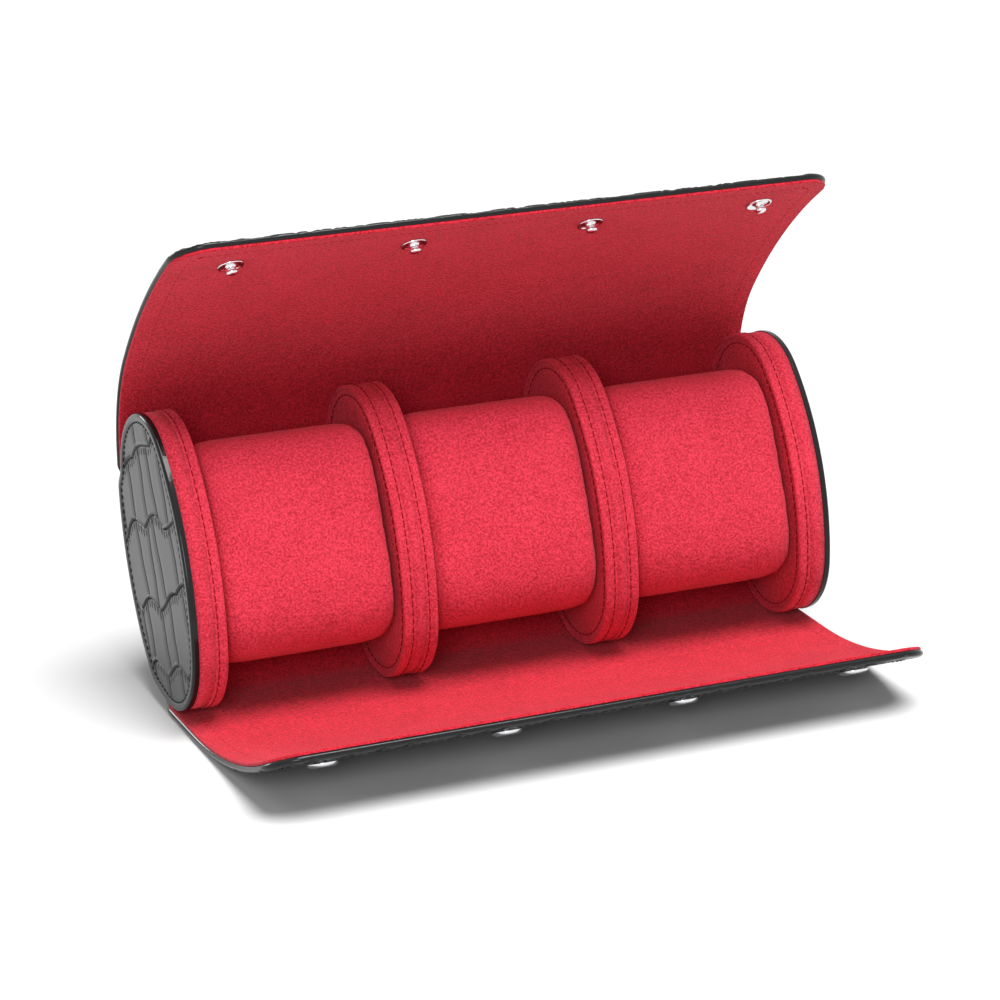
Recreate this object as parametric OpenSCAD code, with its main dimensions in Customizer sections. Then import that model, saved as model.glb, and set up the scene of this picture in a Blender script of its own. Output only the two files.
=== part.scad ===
// Travel case for three watches: four oval discs sewn into a wrapped sheet of
// embossed leather, stiff board and suede. The sheet's upper end is the lid and
// its lower end the front flap. Both roll round the discs and close with snaps.
// X runs along the case, Y to its back and Z up. The origin is the middle of the
// flat face that the case stands on.

/* [Discs and slots] */
// Width of each slot between two discs
slot_width = 60; // [50:0.5:75]
// Thickness of a disc
disc_thickness = 12; // [9:0.5:16]
// Half of the oval's short axis
disc_half_width = 29; // [27:0.5:33]
// Half of the oval's long axis
disc_half_height = 48.5; // [44:0.5:54]
// Radius of the oval's two ends
disc_end_radius = 24; // [21:0.5:25]
// Angle by which the ovals lean back
lean = 24.6; // [15:0.2:32]
// Thickness of the suede on a disc
suede_thickness = 1.2; // [0.8:0.1:1.8]
// Depth of a face panel's recess below the bindings
face_recess = 0.6; // [0.3:0.1:1]
// Width of the binding at a disc's inner edge
binding_width = 4.2; // [3:0.1:4.6]
// Height of the binding above the suede rim
binding_height = 0.35; // [0.2:0.05:0.6]
// Thickness of an end disc's leather panel
panel_thickness = 2.2; // [1.6:0.1:3]
// Thickness of the stiff board in a disc
disc_board_thickness = 2.4; // [1.5:0.1:3]

/* [Wrapped sheet] */
// Thickness of the embossed leather
leather_thickness = 1.1; // [0.8:0.1:1.6]
// Thickness of the stiff board
board_thickness = 1.2; // [0.8:0.1:1.6]
// Thickness of the suede lining
lining_thickness = 0.9; // [0.6:0.1:1.4]
// Gap between the discs and the lining
wrap_gap = 0.4; // [0.3:0.05:0.8]
// Radius of the sheet's bend behind the flat base
base_bend_radius = 3.8; // [3:0.2:8]
// Radius of the free corners of the sheet
corner_radius = 12; // [8:0.5:18]
// Width of the leather turned over the board's edge
turned_edge = 1.4; // [1:0.1:2.5]
// How far the lining stays back from the sheet's edge
lining_setback = 0.5; // [0.3:0.1:1.2]
// Gap between two sections of the sheet at a fold line
fold_gap = 0.6; // [0.4:0.05:0.9]

/* [Lid] */
// Length of the lid from where it leaves the discs
lid_length = 116; // [112:0.5:122]
// Length of its straight start
lid_straight = 6; // [3:0.5:10]
// Length of its tighter bend
lid_bend_length = 34; // [28:0.5:40]
// Radius of its tighter bend
lid_bend_radius = 51; // [45:0.5:70]
// Radius of its upper panel
lid_panel_radius = 195; // [150:1:260]
// Distance from its start to the first fold line
lid_first_fold = 10.4; // [6:0.05:12]
// Distance between its fold lines
lid_fold_pitch = 22.1; // [20:0.1:26]

/* [Front flap] */
// Length of the front flap from the lowest point of the discs
front_length = 97; // [92:0.5:102]
// Radius in which it rises beyond its flat first strip
front_radius = 140; // [110:1:200]
// Distance from the lowest point to the first fold line
front_first_fold = 6.2; // [5:0.05:10]
// Distance between its fold lines
front_fold_pitch = 14.9; // [13:0.1:18]

/* [Snaps] */
// Distance between neighbouring snaps
snap_pitch = 61.4; // [50:0.2:65]
// Distance from the lid's edge to the studs
stud_edge = 17; // [16:0.1:26]
// Distance from the front flap's edge to the sockets
socket_edge = 17.5; // [16:0.1:26]
// Radius of a stud's flange
stud_flange_radius = 4.7; // [4:0.1:5.5]
// Thickness of a stud's flange
stud_flange_height = 0.5; // [0.3:0.05:0.8]
// Radius of a stud's knob
knob_radius = 1.9; // [1.6:0.05:2.2]
// Height of a stud above the lining
stud_height = 3.3; // [2.6:0.1:3.4]
// Radius of a socket
socket_radius = 5; // [4.6:0.1:5.6]
// Height of a socket above the leather
socket_height = 1.7; // [1.2:0.05:1.75]
// Clearance round a stud's knob
knob_clearance = 0.25; // [0.15:0.05:0.5]

/* [Cushions] */
// Depth of a cushion, front to back
cushion_depth = 42.5; // [38:0.5:50]
// Height of a cushion along the discs' long axis
cushion_height = 72; // [60:0.5:80]
// Radius of a cushion's long edges
cushion_corner = 17; // [12:0.5:19]
// How far a cushion's middle lies in front of the discs' middle
cushion_forward = 5.5; // [2:0.5:6]
// Clearance between a cushion's end and the disc
cushion_clearance = 0.3; // [0.2:0.05:1]
// How far a cushion's ends are drawn in
cushion_crown = 4; // [2:0.5:6]
// Thickness of a cushion's cover
cover_thickness = 1.2; // [0.8:0.1:2]

/* [Hidden] */
$fn = 96;

SLOTS = 3;
SNAPS = 4;
leather_colour = "#1c1c1e";
suede_colour = "#c8283c";
board_colour = "#9a8468";
foam_colour = "#d9d4c8";
metal_colour = "#c9cacc";

case_length = SLOTS * slot_width + (SLOTS + 1) * disc_thickness;
half_length = case_length / 2;
slot_pitch = slot_width + disc_thickness;
sheet_thickness = leather_thickness + board_thickness + lining_thickness;

// The oval is four arcs: two ends and two flatter sides that meet them smoothly.
end_centre = disc_half_height - disc_end_radius;
side_radius = (end_centre ^ 2 + disc_half_width ^ 2 - disc_end_radius ^ 2)
    / (2 * (disc_half_width - disc_end_radius));
side_centre = side_radius - disc_half_width;
join_angle = atan2(end_centre, side_centre);

// Offsets from the lining's surface outwards through the sheet.
board_inner = lining_thickness;
board_outer = lining_thickness + board_thickness;

// The sheet's inner surface round the discs, measured from the discs' middle.
wrap_side = side_radius + wrap_gap;
base_drop = end_centre * cos(lean) + disc_end_radius + wrap_gap;
lowest_y = -end_centre * sin(lean);
back_centre = [-side_centre * cos(lean), side_centre * sin(lean)];
bend_z = base_bend_radius - base_drop;
bend_y = back_centre[0]
    + sqrt((wrap_side - base_bend_radius) ^ 2 - (bend_z - back_centre[1]) ^ 2);
leave_angle = join_angle - lean;
bend_angle = atan2(bend_z - back_centre[1], bend_y - back_centre[0]);

// The discs' middle, with the flat base of the spine centred on the origin.
disc_z = base_drop + sheet_thickness;
disc_y = -(bend_y + lowest_y - front_first_fold) / 2;

// Paths of the lining's surface: a start [y, z, heading] and [length, curvature] pairs.
leave_y = disc_y + back_centre[0] + wrap_side * cos(leave_angle);
leave_z = disc_z + back_centre[1] + wrap_side * sin(leave_angle);
UP = [leave_y, leave_z, leave_angle + 90];
DOWN = [leave_y, leave_z, leave_angle - 90];
UP_PATH = [[lid_straight, 0], [lid_bend_length, 1 / lid_bend_radius],
    [lid_length - lid_straight - lid_bend_length, 1 / lid_panel_radius]];
front_flat = front_first_fold + front_fold_pitch;
back_run = wrap_side * (leave_angle - bend_angle) * PI / 180;
bend_run = base_bend_radius * (bend_angle + 90) * PI / 180;
base_run = bend_y - lowest_y;
DOWN_PATH = [[back_run, -1 / wrap_side], [bend_run, -1 / base_bend_radius],
    [base_run + front_flat, 0], [front_length - front_flat, -1 / front_radius]];

// Places along the two paths.
sewn_end = back_run + bend_run + base_run;
front_end = sewn_end + front_length;
lid_folds = [for (i = [0 : 3]) lid_first_fold + i * lid_fold_pitch];
front_folds = [for (i = [0 : 2]) sewn_end + front_first_fold + i * front_fold_pitch];

// Snap sizes that follow from the ones above.
stud_lift = 0.1;
socket_lift = 0.05;
post_radius = knob_radius - 0.4;
barrel_radius = knob_radius + knob_clearance + 0.75;
barrel_depth = leather_thickness + board_thickness * 0.7;
shank_radius = 1.2;
foot_radius = 3.8;
foot_height = board_thickness / 2;
fit_clearance = 0.1;
sliver = 0.2;
cutter_margin = 2;

// ---- Paths ----

// The pose reached from pose p after a run along one piece of constant curvature.
function run_on(p, run, k) =
    k == 0
    ? [p[0] + run * cos(p[2]), p[1] + run * sin(p[2]), p[2]]
    : let (h = p[2] + run * k * 180 / PI)
        [p[0] + (sin(h) - sin(p[2])) / k, p[1] - (cos(h) - cos(p[2])) / k, h];

// The pose at distance s along a path.
function pose_at(p, path, s, i = 0) =
    s <= path[i][0] || i == len(path) - 1
    ? run_on(p, s, path[i][1])
    : pose_at(run_on(p, path[i][0], path[i][1]), path, s - path[i][0], i + 1);

// The distance along a path at which piece i starts.
function piece_start(path, i) = i == 0 ? 0 : path[i - 1][0] + piece_start(path, i - 1);

// The outward side of a pose: to the right going up, to the left going down.
function outward(p, side) = side * [sin(p[2]), -cos(p[2])];

// A flat or curved length of sheet between the offsets o0 and o1.
module sheet_piece(p, run, k, side, o0, o1) {
    q = run_on(p, run, k);
    if (k == 0) {
        polygon([for (e = [[p, o0], [p, o1], [q, o1], [q, o0]])
            [e[0][0], e[0][1]] + e[1] * outward(e[0], side)]);
    }
    if (k != 0) {
        radius = 1 / abs(k);
        centre = [p[0], p[1]] - radius * outward(p, side);
        reach = 2 * (radius + o1);
        intersection() {
            translate(centre) difference() {
                circle(radius + o1);
                circle(radius + o0);
            }
            polygon([centre, centre + reach * outward(p, side),
                centre + reach * outward(q, side)]);
        }
    }
}

// The sheet's section from s0 to s1 along a path, between two offsets. Pieces that
// follow one another share a sliver, so that they join into one solid.
module section(start, path, side, s0, s1, o0, o1) {
    for (i = [0 : len(path) - 1]) {
        first = piece_start(path, i);
        last = first + path[i][0];
        if (s0 < last && s1 > first) {
            a = i > 0 && s0 < first ? first - sliver : s0;
            b = i < len(path) - 1 && s1 > last ? last + sliver : s1;
            entry = run_on(pose_at(start, path, max(first, s0)), a - max(first, s0), path[i][1]);
            sheet_piece(entry, b - a, path[i][1], side, o0, o1);
        }
    }
}

module lid_section(s0, s1, o0, o1) {
    section(UP, UP_PATH, 1, s0, s1, o0, o1);
}

module lower_section(s0, s1, o0, o1) {
    section(DOWN, DOWN_PATH, -1, s0, s1, o0, o1);
}

// Extrudes a section in the Y-Z plane along X.
module along_x(x0, x1) {
    translate([x0, 0, 0]) rotate([90, 0, 90]) linear_extrude(x1 - x0) children();
}

module across(half_width) {
    along_x(-half_width, half_width) children();
}

// ---- Sheet ----

// Block that gives a panel its width, its free edge at p and that edge's round corners.
module rounded_end(p, inset) {
    w = half_length - inset;
    r = corner_radius - inset;
    reach = 90;
    depth = 44;
    translate([0, p[0], p[1]]) rotate([p[2], 0, 0])
        translate([0, 0, -depth / 2]) linear_extrude(depth) {
            translate([-w, -reach]) square([2 * w, reach - inset - r]);
            translate([-w + r, -inset - r - 1]) square([2 * (w - r), r + 1]);
            for (x = [-w + r, w - r]) translate([x, -inset - r]) circle(r);
        }
}

// One layer of a flap's free panel. Its section runs past the block on all sides.
module panel_layer(p, inset) {
    intersection() {
        across(half_length + cutter_margin) children();
        rounded_end(p, inset);
    }
}

lid_tip = pose_at(UP, UP_PATH, lid_length);
front_tip = pose_at(DOWN, DOWN_PATH, front_end);
lid_panel_start = lid_folds[3] + fold_gap / 2;
front_panel_start = front_folds[2] + fold_gap / 2;

module spine_layer(o0, o1, inset) {
    across(half_length - panel_thickness) lower_section(0, sewn_end + sliver, o0, o1);
    across(half_length - inset)
        lower_section(sewn_end, front_folds[0] - fold_gap / 2, o0, o1);
    across(half_length - inset) lid_section(-sliver, lid_folds[0] - fold_gap / 2, o0, o1);
}

module spine_leather() {
    color(leather_colour) spine_layer(board_outer, sheet_thickness, 0);
}

module spine_board() {
    color(board_colour) spine_layer(board_inner, board_outer, turned_edge);
}

module spine_lining() {
    color(suede_colour) spine_layer(0, lining_thickness, lining_setback);
}

module lid_strip_leather(i) {
    color(leather_colour) across(half_length)
        lid_section(lid_folds[i] + fold_gap / 2, lid_folds[i + 1] - fold_gap / 2,
            lining_thickness, sheet_thickness);
}

module lid_strip_lining(i) {
    color(suede_colour) across(half_length - lining_setback)
        lid_section(lid_folds[i] + fold_gap / 2, lid_folds[i + 1] - fold_gap / 2,
            0, lining_thickness);
}

module front_strip_leather(i) {
    color(leather_colour) across(half_length)
        lower_section(front_folds[i] + fold_gap / 2, front_folds[i + 1] - fold_gap / 2,
            lining_thickness, sheet_thickness);
}

module front_strip_lining(i) {
    color(suede_colour) across(half_length - lining_setback)
        lower_section(front_folds[i] + fold_gap / 2, front_folds[i + 1] - fold_gap / 2,
            0, lining_thickness);
}

// Board pocket: the leather turns over the board's edge, so the board is set back.
module lid_board_shape(inset, start) {
    panel_layer(lid_tip, inset)
        lid_section(start, lid_length + cutter_margin, board_inner, board_outer);
}

module front_board_shape(inset, start) {
    panel_layer(front_tip, inset)
        lower_section(start, front_end + cutter_margin, board_inner, board_outer);
}

module lid_panel_leather() {
    color(leather_colour) difference() {
        panel_layer(lid_tip, 0)
            lid_section(lid_panel_start, lid_length + cutter_margin,
                lining_thickness, sheet_thickness);
        lid_board_shape(turned_edge, lid_panel_start - 1);
    }
}

module lid_panel_board() {
    color(board_colour) difference() {
        lid_board_shape(turned_edge, lid_panel_start);
        at_studs() cylinder(h = 2 * (foot_height + fit_clearance),
            r = foot_radius + fit_clearance, center = true);
    }
}

module lid_panel_lining() {
    color(suede_colour) difference() {
        panel_layer(lid_tip, lining_setback)
            lid_section(lid_panel_start, lid_length + cutter_margin, 0, lining_thickness);
        at_studs() cylinder(h = 6, r = shank_radius + fit_clearance, center = true);
    }
}

module front_panel_leather() {
    color(leather_colour) difference() {
        panel_layer(front_tip, 0)
            lower_section(front_panel_start, front_end + cutter_margin,
                lining_thickness, sheet_thickness);
        front_board_shape(turned_edge, front_panel_start - 1);
        at_sockets() cylinder(h = 20, r = barrel_radius + fit_clearance, center = true);
    }
}

module front_panel_board() {
    color(board_colour) difference() {
        front_board_shape(turned_edge, front_panel_start);
        at_sockets() translate([0, 0, -barrel_depth - fit_clearance])
            cylinder(h = 20, r = barrel_radius + fit_clearance);
    }
}

module front_panel_lining() {
    color(suede_colour) panel_layer(front_tip, lining_setback)
        lower_section(front_panel_start, front_end + cutter_margin, 0, lining_thickness);
}

// ---- Snaps ----

// Places its children at each snap, with Z along the direction at angle a in the Y-Z plane.
module at_snaps(y, z, a) {
    for (i = [0 : SNAPS - 1])
        translate([(i - (SNAPS - 1) / 2) * snap_pitch, y, z]) rotate([a - 90, 0, 0]) children();
}

stud_pose = pose_at(UP, UP_PATH, lid_length - stud_edge);
socket_pose = pose_at(DOWN, DOWN_PATH, front_end - socket_edge);
socket_y = socket_pose[0] + sheet_thickness * outward(socket_pose, -1)[0];
socket_z = socket_pose[1] + sheet_thickness * outward(socket_pose, -1)[1];

// At the board's inner face under the lining, with Z pointing out of the lining.
module at_studs() {
    at_snaps(stud_pose[0] + board_inner * outward(stud_pose, 1)[0],
        stud_pose[1] + board_inner * outward(stud_pose, 1)[1], stud_pose[2] + 90)
        children();
}

// At the leather's outer face, with Z pointing out of the leather.
module at_sockets() {
    at_snaps(socket_y, socket_z, socket_pose[2] + 90) children();
}

// Foot behind the lining, shank, flange and knobbed post, turned in one piece.
module stud() {
    face = lining_thickness + stud_lift;
    top = lining_thickness + stud_height;
    neck = face + stud_flange_height;
    translate([0, 0, -foot_height]) cylinder(h = foot_height - fit_clearance / 2, r = foot_radius);
    translate([0, 0, -foot_height]) cylinder(h = foot_height + face + 0.2, r = shank_radius);
    rotate_extrude() {
        translate([0, face]) square([stud_flange_radius - stud_flange_height / 2,
            stud_flange_height]);
        translate([stud_flange_radius - stud_flange_height / 2, face + stud_flange_height / 2])
            circle(stud_flange_height / 2);
        translate([0, neck - 0.05]) square([post_radius, top - neck - 0.35]);
        intersection() {
            translate([0, top - 0.9]) scale([knob_radius / 0.9, 1]) circle(0.9);
            translate([0, top - 2]) square([knob_radius + 1, 2]);
        }
    }
}

// Domed ring with a blind barrel that is let into the leather and the board.
module socket() {
    bore = knob_radius + knob_clearance;
    dome = 3.2;
    rotate_extrude() difference() {
        union() {
            intersection() {
                translate([0, socket_height - dome]) scale([socket_radius * 1.25 / dome, 1])
                    circle(dome);
                translate([0, socket_lift])
                    square([socket_radius, socket_height - socket_lift]);
            }
            translate([0, -barrel_depth]) square([barrel_radius, barrel_depth + 0.5]);
        }
        translate([-1, 0.2 - barrel_depth]) square([bore + 1, barrel_depth + socket_height]);
        translate([-1, -0.2]) square([bore + 1.35, 0.7]);
    }
}

module snap_studs() {
    color(metal_colour) at_studs() stud();
}

module snap_sockets() {
    color(metal_colour) at_sockets() socket();
}

// Split ring that grips the stud's neck, in the socket's groove.
module socket_springs() {
    wire = 0.2;
    groove = knob_radius + knob_clearance + 0.35;
    color(metal_colour) at_sockets() translate([0, 0, 0.15]) difference() {
        rotate_extrude() translate([groove - wire - 0.05, 0]) circle(wire, $fn = 24);
        translate([0, -0.4, -1]) cube([5, 0.8, 2]);
    }
}

// ---- Discs ----

// Places a shape drawn on the oval's own axes: X short, Y long.
module on_disc() {
    translate([disc_y, disc_z]) rotate(-lean) children();
}

// The oval outline, drawn in by an inset.
module oval(inset) {
    r = disc_end_radius - inset;
    band = (side_radius - inset) * sin(join_angle);
    intersection() {
        translate([-side_centre, 0]) circle(side_radius - inset);
        translate([side_centre, 0]) circle(side_radius - inset);
        translate([-disc_half_width, -band]) square([2 * disc_half_width, 2 * band]);
    }
    for (s = [-1, 1]) translate([0, s * end_centre]) circle(r);
}

module oval_slab(x0, x1, inset) {
    along_x(x0, x1) on_disc() oval(inset);
}

module oval_ring(x0, x1, outer, inner) {
    along_x(x0, x1) on_disc() difference() {
        oval(outer);
        oval(inner);
    }
}

// The parts of an end disc are built for the left end and mirrored for the right.
module for_end(right) {
    mirror([right ? 1 : 0, 0, 0]) children();
}

end_outer = -half_length;
end_inner = end_outer + disc_thickness;
panel_inner = end_outer + panel_thickness;
board_end = panel_inner + disc_board_thickness;
face_outer = end_inner - face_recess;
face_inner = face_outer - suede_thickness;
binding_start = end_inner - binding_width;

// Leather panel, with the lip that covers the sheet's sewn edge.
module end_leather(right) {
    color(leather_colour) for_end(right) {
        oval_slab(end_outer, panel_inner, 0);
        along_x(end_outer, panel_inner)
            lower_section(0, sewn_end, -base_bend_radius / 2, sheet_thickness);
    }
}

module end_board(right) {
    color(board_colour) for_end(right) oval_slab(panel_inner, board_end, suede_thickness);
}

module end_foam(right) {
    color(foam_colour) for_end(right) oval_slab(board_end, face_inner, suede_thickness);
}

module end_rim(right) {
    color(suede_colour) for_end(right)
        oval_ring(panel_inner, binding_start, binding_height, suede_thickness);
}

module end_binding(right) {
    color(suede_colour) for_end(right)
        oval_ring(binding_start, end_inner, 0, suede_thickness);
}

module end_face(right) {
    color(suede_colour) for_end(right) oval_slab(face_inner, face_outer, suede_thickness);
}

// Dividers, with both faces in suede. The middle of divider i is on a slot's edge.
function divider_x(i) = (i - 1.5) * slot_pitch;
half_disc = disc_thickness / 2;
face_depth = half_disc - face_recess;

module divider_core(i) {
    w = face_depth - suede_thickness;
    color(foam_colour) oval_slab(divider_x(i) - w, divider_x(i) + w, suede_thickness);
}

module divider_rim(i) {
    w = half_disc - binding_width;
    color(suede_colour)
        oval_ring(divider_x(i) - w, divider_x(i) + w, binding_height, suede_thickness);
}

module divider_bindings(i) {
    w = half_disc - binding_width;
    color(suede_colour) for (s = [-1, 1])
        oval_ring(divider_x(i) + min(s * w, s * half_disc),
            divider_x(i) + max(s * w, s * half_disc), 0, suede_thickness);
}

module divider_faces(i) {
    w = face_depth - suede_thickness;
    color(suede_colour) for (s = [-1, 1])
        oval_slab(divider_x(i) + min(s * w, s * face_depth),
            divider_x(i) + max(s * w, s * face_depth), suede_thickness);
}

// ---- Cushions ----

// Rounded rectangle on the disc's axes.
module cushion_outline(inset) {
    w = cushion_depth - 2 * inset;
    h = cushion_height - 2 * inset;
    r = max(2, cushion_corner - inset);
    translate([-cushion_forward, 0]) {
        square([w - 2 * r, h], center = true);
        square([w, h - 2 * r], center = true);
        for (x = [-1, 1], y = [-1, 1])
            translate([x * (w / 2 - r), y * (h / 2 - r)]) circle(r, $fn = 24);
    }
}

// Pillow whose ends are drawn in evenly, centred on slot i.
module pillow(i, inset) {
    x = (i - 2) * slot_pitch;
    w = slot_width / 2 - cushion_clearance - inset;
    hull() {
        along_x(x - w, x + w) on_disc() cushion_outline(cushion_crown + inset);
        along_x(x - w + cushion_crown / 4, x + w - cushion_crown / 4)
            on_disc() cushion_outline(cushion_crown / 2 + inset);
        along_x(x - w + cushion_crown, x + w - cushion_crown)
            on_disc() cushion_outline(inset);
    }
}

module cushion_cover(i) {
    color(suede_colour) difference() {
        pillow(i, 0);
        pillow(i, cover_thickness);
    }
}

module cushion_foam(i) {
    color(foam_colour) pillow(i, cover_thickness + fit_clearance);
}

spine_leather();
spine_board();
spine_lining();
lid_strip_leather(0);  // lid_strip_1_leather
lid_strip_lining(0);  // lid_strip_1_lining
lid_strip_leather(1);  // lid_strip_2_leather
lid_strip_lining(1);  // lid_strip_2_lining
lid_strip_leather(2);  // lid_strip_3_leather
lid_strip_lining(2);  // lid_strip_3_lining
lid_panel_leather();
lid_panel_board();
lid_panel_lining();
front_strip_leather(0);  // front_strip_1_leather
front_strip_lining(0);  // front_strip_1_lining
front_strip_leather(1);  // front_strip_2_leather
front_strip_lining(1);  // front_strip_2_lining
front_panel_leather();
front_panel_board();
front_panel_lining();
end_leather(false);  // left_end_leather
end_board(false);  // left_end_board
end_foam(false);  // left_end_foam
end_rim(false);  // left_end_rim
end_binding(false);  // left_end_binding
end_face(false);  // left_end_face
end_leather(true);  // right_end_leather
end_board(true);  // right_end_board
end_foam(true);  // right_end_foam
end_rim(true);  // right_end_rim
end_binding(true);  // right_end_binding
end_face(true);  // right_end_face
divider_core(1);  // divider_1_core
divider_rim(1);  // divider_1_rim
divider_bindings(1);  // divider_1_bindings
divider_faces(1);  // divider_1_faces
divider_core(2);  // divider_2_core
divider_rim(2);  // divider_2_rim
divider_bindings(2);  // divider_2_bindings
divider_faces(2);  // divider_2_faces
cushion_cover(1);  // cushion_1_cover
cushion_foam(1);  // cushion_1_foam
cushion_cover(2);  // cushion_2_cover
cushion_foam(2);  // cushion_2_foam
cushion_cover(3);  // cushion_3_cover
cushion_foam(3);  // cushion_3_foam
snap_studs();
snap_sockets();
socket_springs();
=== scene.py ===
"""Looks of the watch travel case: embossed leather, suede, cushions and press studs.

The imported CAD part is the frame. Each class below builds the visible pieces of one
sub-assembly round it, in metres, in the CAD part's own axes: X along the case, Y to
its back and Z up.
"""

import logging
import math
from dataclasses import dataclass, field
from enum import Enum
from functools import partial
from typing import Callable, Mapping, Optional, Sequence, Union

import bmesh
import bpy
import numpy as np
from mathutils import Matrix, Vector


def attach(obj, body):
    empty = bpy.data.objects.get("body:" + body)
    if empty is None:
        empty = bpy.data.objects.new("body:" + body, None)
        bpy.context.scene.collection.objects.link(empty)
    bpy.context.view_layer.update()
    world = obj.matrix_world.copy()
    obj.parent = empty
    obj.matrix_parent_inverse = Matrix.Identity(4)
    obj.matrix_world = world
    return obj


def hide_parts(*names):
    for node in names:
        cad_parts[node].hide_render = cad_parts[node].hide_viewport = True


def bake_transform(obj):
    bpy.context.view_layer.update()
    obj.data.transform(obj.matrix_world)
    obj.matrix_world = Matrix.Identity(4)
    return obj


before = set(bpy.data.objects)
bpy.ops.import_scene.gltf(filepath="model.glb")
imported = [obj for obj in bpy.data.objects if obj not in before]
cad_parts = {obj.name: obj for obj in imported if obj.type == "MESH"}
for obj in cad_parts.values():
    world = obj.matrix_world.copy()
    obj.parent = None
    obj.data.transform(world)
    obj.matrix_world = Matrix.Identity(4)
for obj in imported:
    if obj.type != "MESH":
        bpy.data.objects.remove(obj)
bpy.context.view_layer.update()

log = logging.getLogger("watch_case")
MM = 0.001
Points = np.ndarray
Places = Union[float, np.ndarray]
Colour = tuple[float, float, float, float]
Feed = Union[float, Colour, bpy.types.NodeSocket]
Faces = list[list[int]]
Pairs = Sequence[tuple[float, float]]


class End(Enum):
    """The two ends of the case, by the sign of X."""

    LEFT = -1
    RIGHT = 1


class Side(Enum):
    """The two faces of the wrapped sheet."""

    LEATHER = "leather"
    SUEDE = "suede"


# ---- Sizes ----


@dataclass(frozen=True)
class OvalSize:
    """Outline of a disc: four arcs that meet smoothly, leaning back."""

    half_width: float = 29 * MM
    half_height: float = 48.5 * MM
    end_radius: float = 24 * MM
    lean: float = math.radians(24.6)

    @property
    def end_centre(self) -> float:
        """Distance from the middle to the centre of an end arc."""
        return self.half_height - self.end_radius

    @property
    def side_radius(self) -> float:
        """Radius of the two flatter side arcs."""
        reach = self.end_centre**2 + self.half_width**2 - self.end_radius**2
        return reach / (2 * (self.half_width - self.end_radius))

    @property
    def side_centre(self) -> float:
        """Distance from the middle to the centre of a side arc."""
        return self.side_radius - self.half_width

    @property
    def join_angle(self) -> float:
        """Normal angle at which a side arc meets an end arc."""
        return math.atan2(self.end_centre, self.side_centre)


@dataclass(frozen=True)
class CaseSize:
    """Discs, slots and their layers along X."""

    slots: int = 3
    slot_width: float = 60 * MM
    disc_thickness: float = 12 * MM
    suede: float = 1.2 * MM
    face_recess: float = 0.6 * MM
    binding_width: float = 4.2 * MM
    binding_height: float = 0.35 * MM
    panel_thickness: float = 2.2 * MM

    @property
    def half_length(self) -> float:
        """Half of the case's length along X."""
        return (self.slots * self.slot_width + (self.slots + 1) * self.disc_thickness) / 2

    @property
    def pitch(self) -> float:
        """Distance between neighbouring slots."""
        return self.slot_width + self.disc_thickness


@dataclass(frozen=True)
class SheetSize:
    """The wrapped sheet: its layers, its course and its fold lines."""

    leather: float = 1.1 * MM
    board: float = 1.2 * MM
    lining: float = 0.9 * MM
    wrap_gap: float = 0.4 * MM
    base_bend_radius: float = 3.8 * MM
    corner_radius: float = 12 * MM
    lining_setback: float = 0.5 * MM
    lid_length: float = 116 * MM
    lid_straight: float = 6 * MM
    lid_bend_length: float = 34 * MM
    lid_bend_radius: float = 51 * MM
    lid_panel_radius: float = 195 * MM
    lid_first_fold: float = 10.4 * MM
    lid_fold_pitch: float = 22.1 * MM
    lid_folds: int = 4
    front_length: float = 97 * MM
    front_radius: float = 140 * MM
    front_first_fold: float = 6.2 * MM
    front_fold_pitch: float = 14.9 * MM
    front_folds: int = 3

    @property
    def thickness(self) -> float:
        """Whole thickness of the sheet."""
        return self.leather + self.board + self.lining


@dataclass(frozen=True)
class SheetFinish:
    """Seams, pressed pattern and narrower sewn part of the wrapped sheet."""

    seam_inset: float = 6.3 * MM
    seam_start: float = 2 * MM
    seam_groove: float = 0.7 * MM
    seam_fade: float = 6 * MM
    thread_sunk: float = 0.12 * MM
    thread_proud: float = 0.2 * MM
    emboss_depth: float = 0.6 * MM
    emboss_fade: float = 0.5 * MM
    overlap: float = 0.06 * MM
    tuck_top: float = 6 * MM
    tuck_bottom: float = 8 * MM
    tuck_end: float = 2 * MM
    tuck_setback: float = 0.1 * MM


@dataclass(frozen=True)
class SnapSize:
    """Press studs on the lid and sockets on the front flap."""

    count: int = 4
    pitch: float = 61.4 * MM
    stud_edge: float = 17 * MM
    socket_edge: float = 17.5 * MM
    flange_radius: float = 4.7 * MM
    flange_bead: float = 0.35 * MM
    flange_height: float = 0.3 * MM
    stud_height: float = 3.3 * MM
    knob_radius: float = 1.9 * MM
    knob_clearance: float = 0.25 * MM
    socket_radius: float = 5 * MM
    socket_height: float = 1.7 * MM
    socket_brim: float = 0.18 * MM
    crown_width: float = 1.2 * MM
    socket_lift: float = 0.03 * MM
    barrel_radius: float = 2.9 * MM
    barrel_depth: float = 1.94 * MM

    def places(self) -> list[float]:
        """Places of the snaps along X.

        Returns:
            One place for each snap.
        """
        return [(number - (self.count - 1) / 2) * self.pitch for number in range(self.count)]


@dataclass(frozen=True)
class FaceSize:
    """Padded suede face of a disc, inside its binding."""

    setback: float = 0.25 * MM
    dome: float = 0.55
    dome_reach: float = 7 * MM
    seam: float = 3.2 * MM
    groove: float = 0.3 * MM
    groove_width: float = 0.5 * MM
    thickness: float = 1.1 * MM
    thread_sunk: float = 0.05 * MM
    near_rings: tuple[float, float, int] = (0, 6 * MM, 19)
    far_rings: tuple[float, float, int] = (8.5, 22.4, 8)

    def steps(self) -> Points:
        """Distances of the face's rings from its edge.

        Returns:
            The distances, closer together near the seam.
        """
        return np.concatenate([np.linspace(*self.near_rings), np.linspace(*self.far_rings) * MM])


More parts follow.
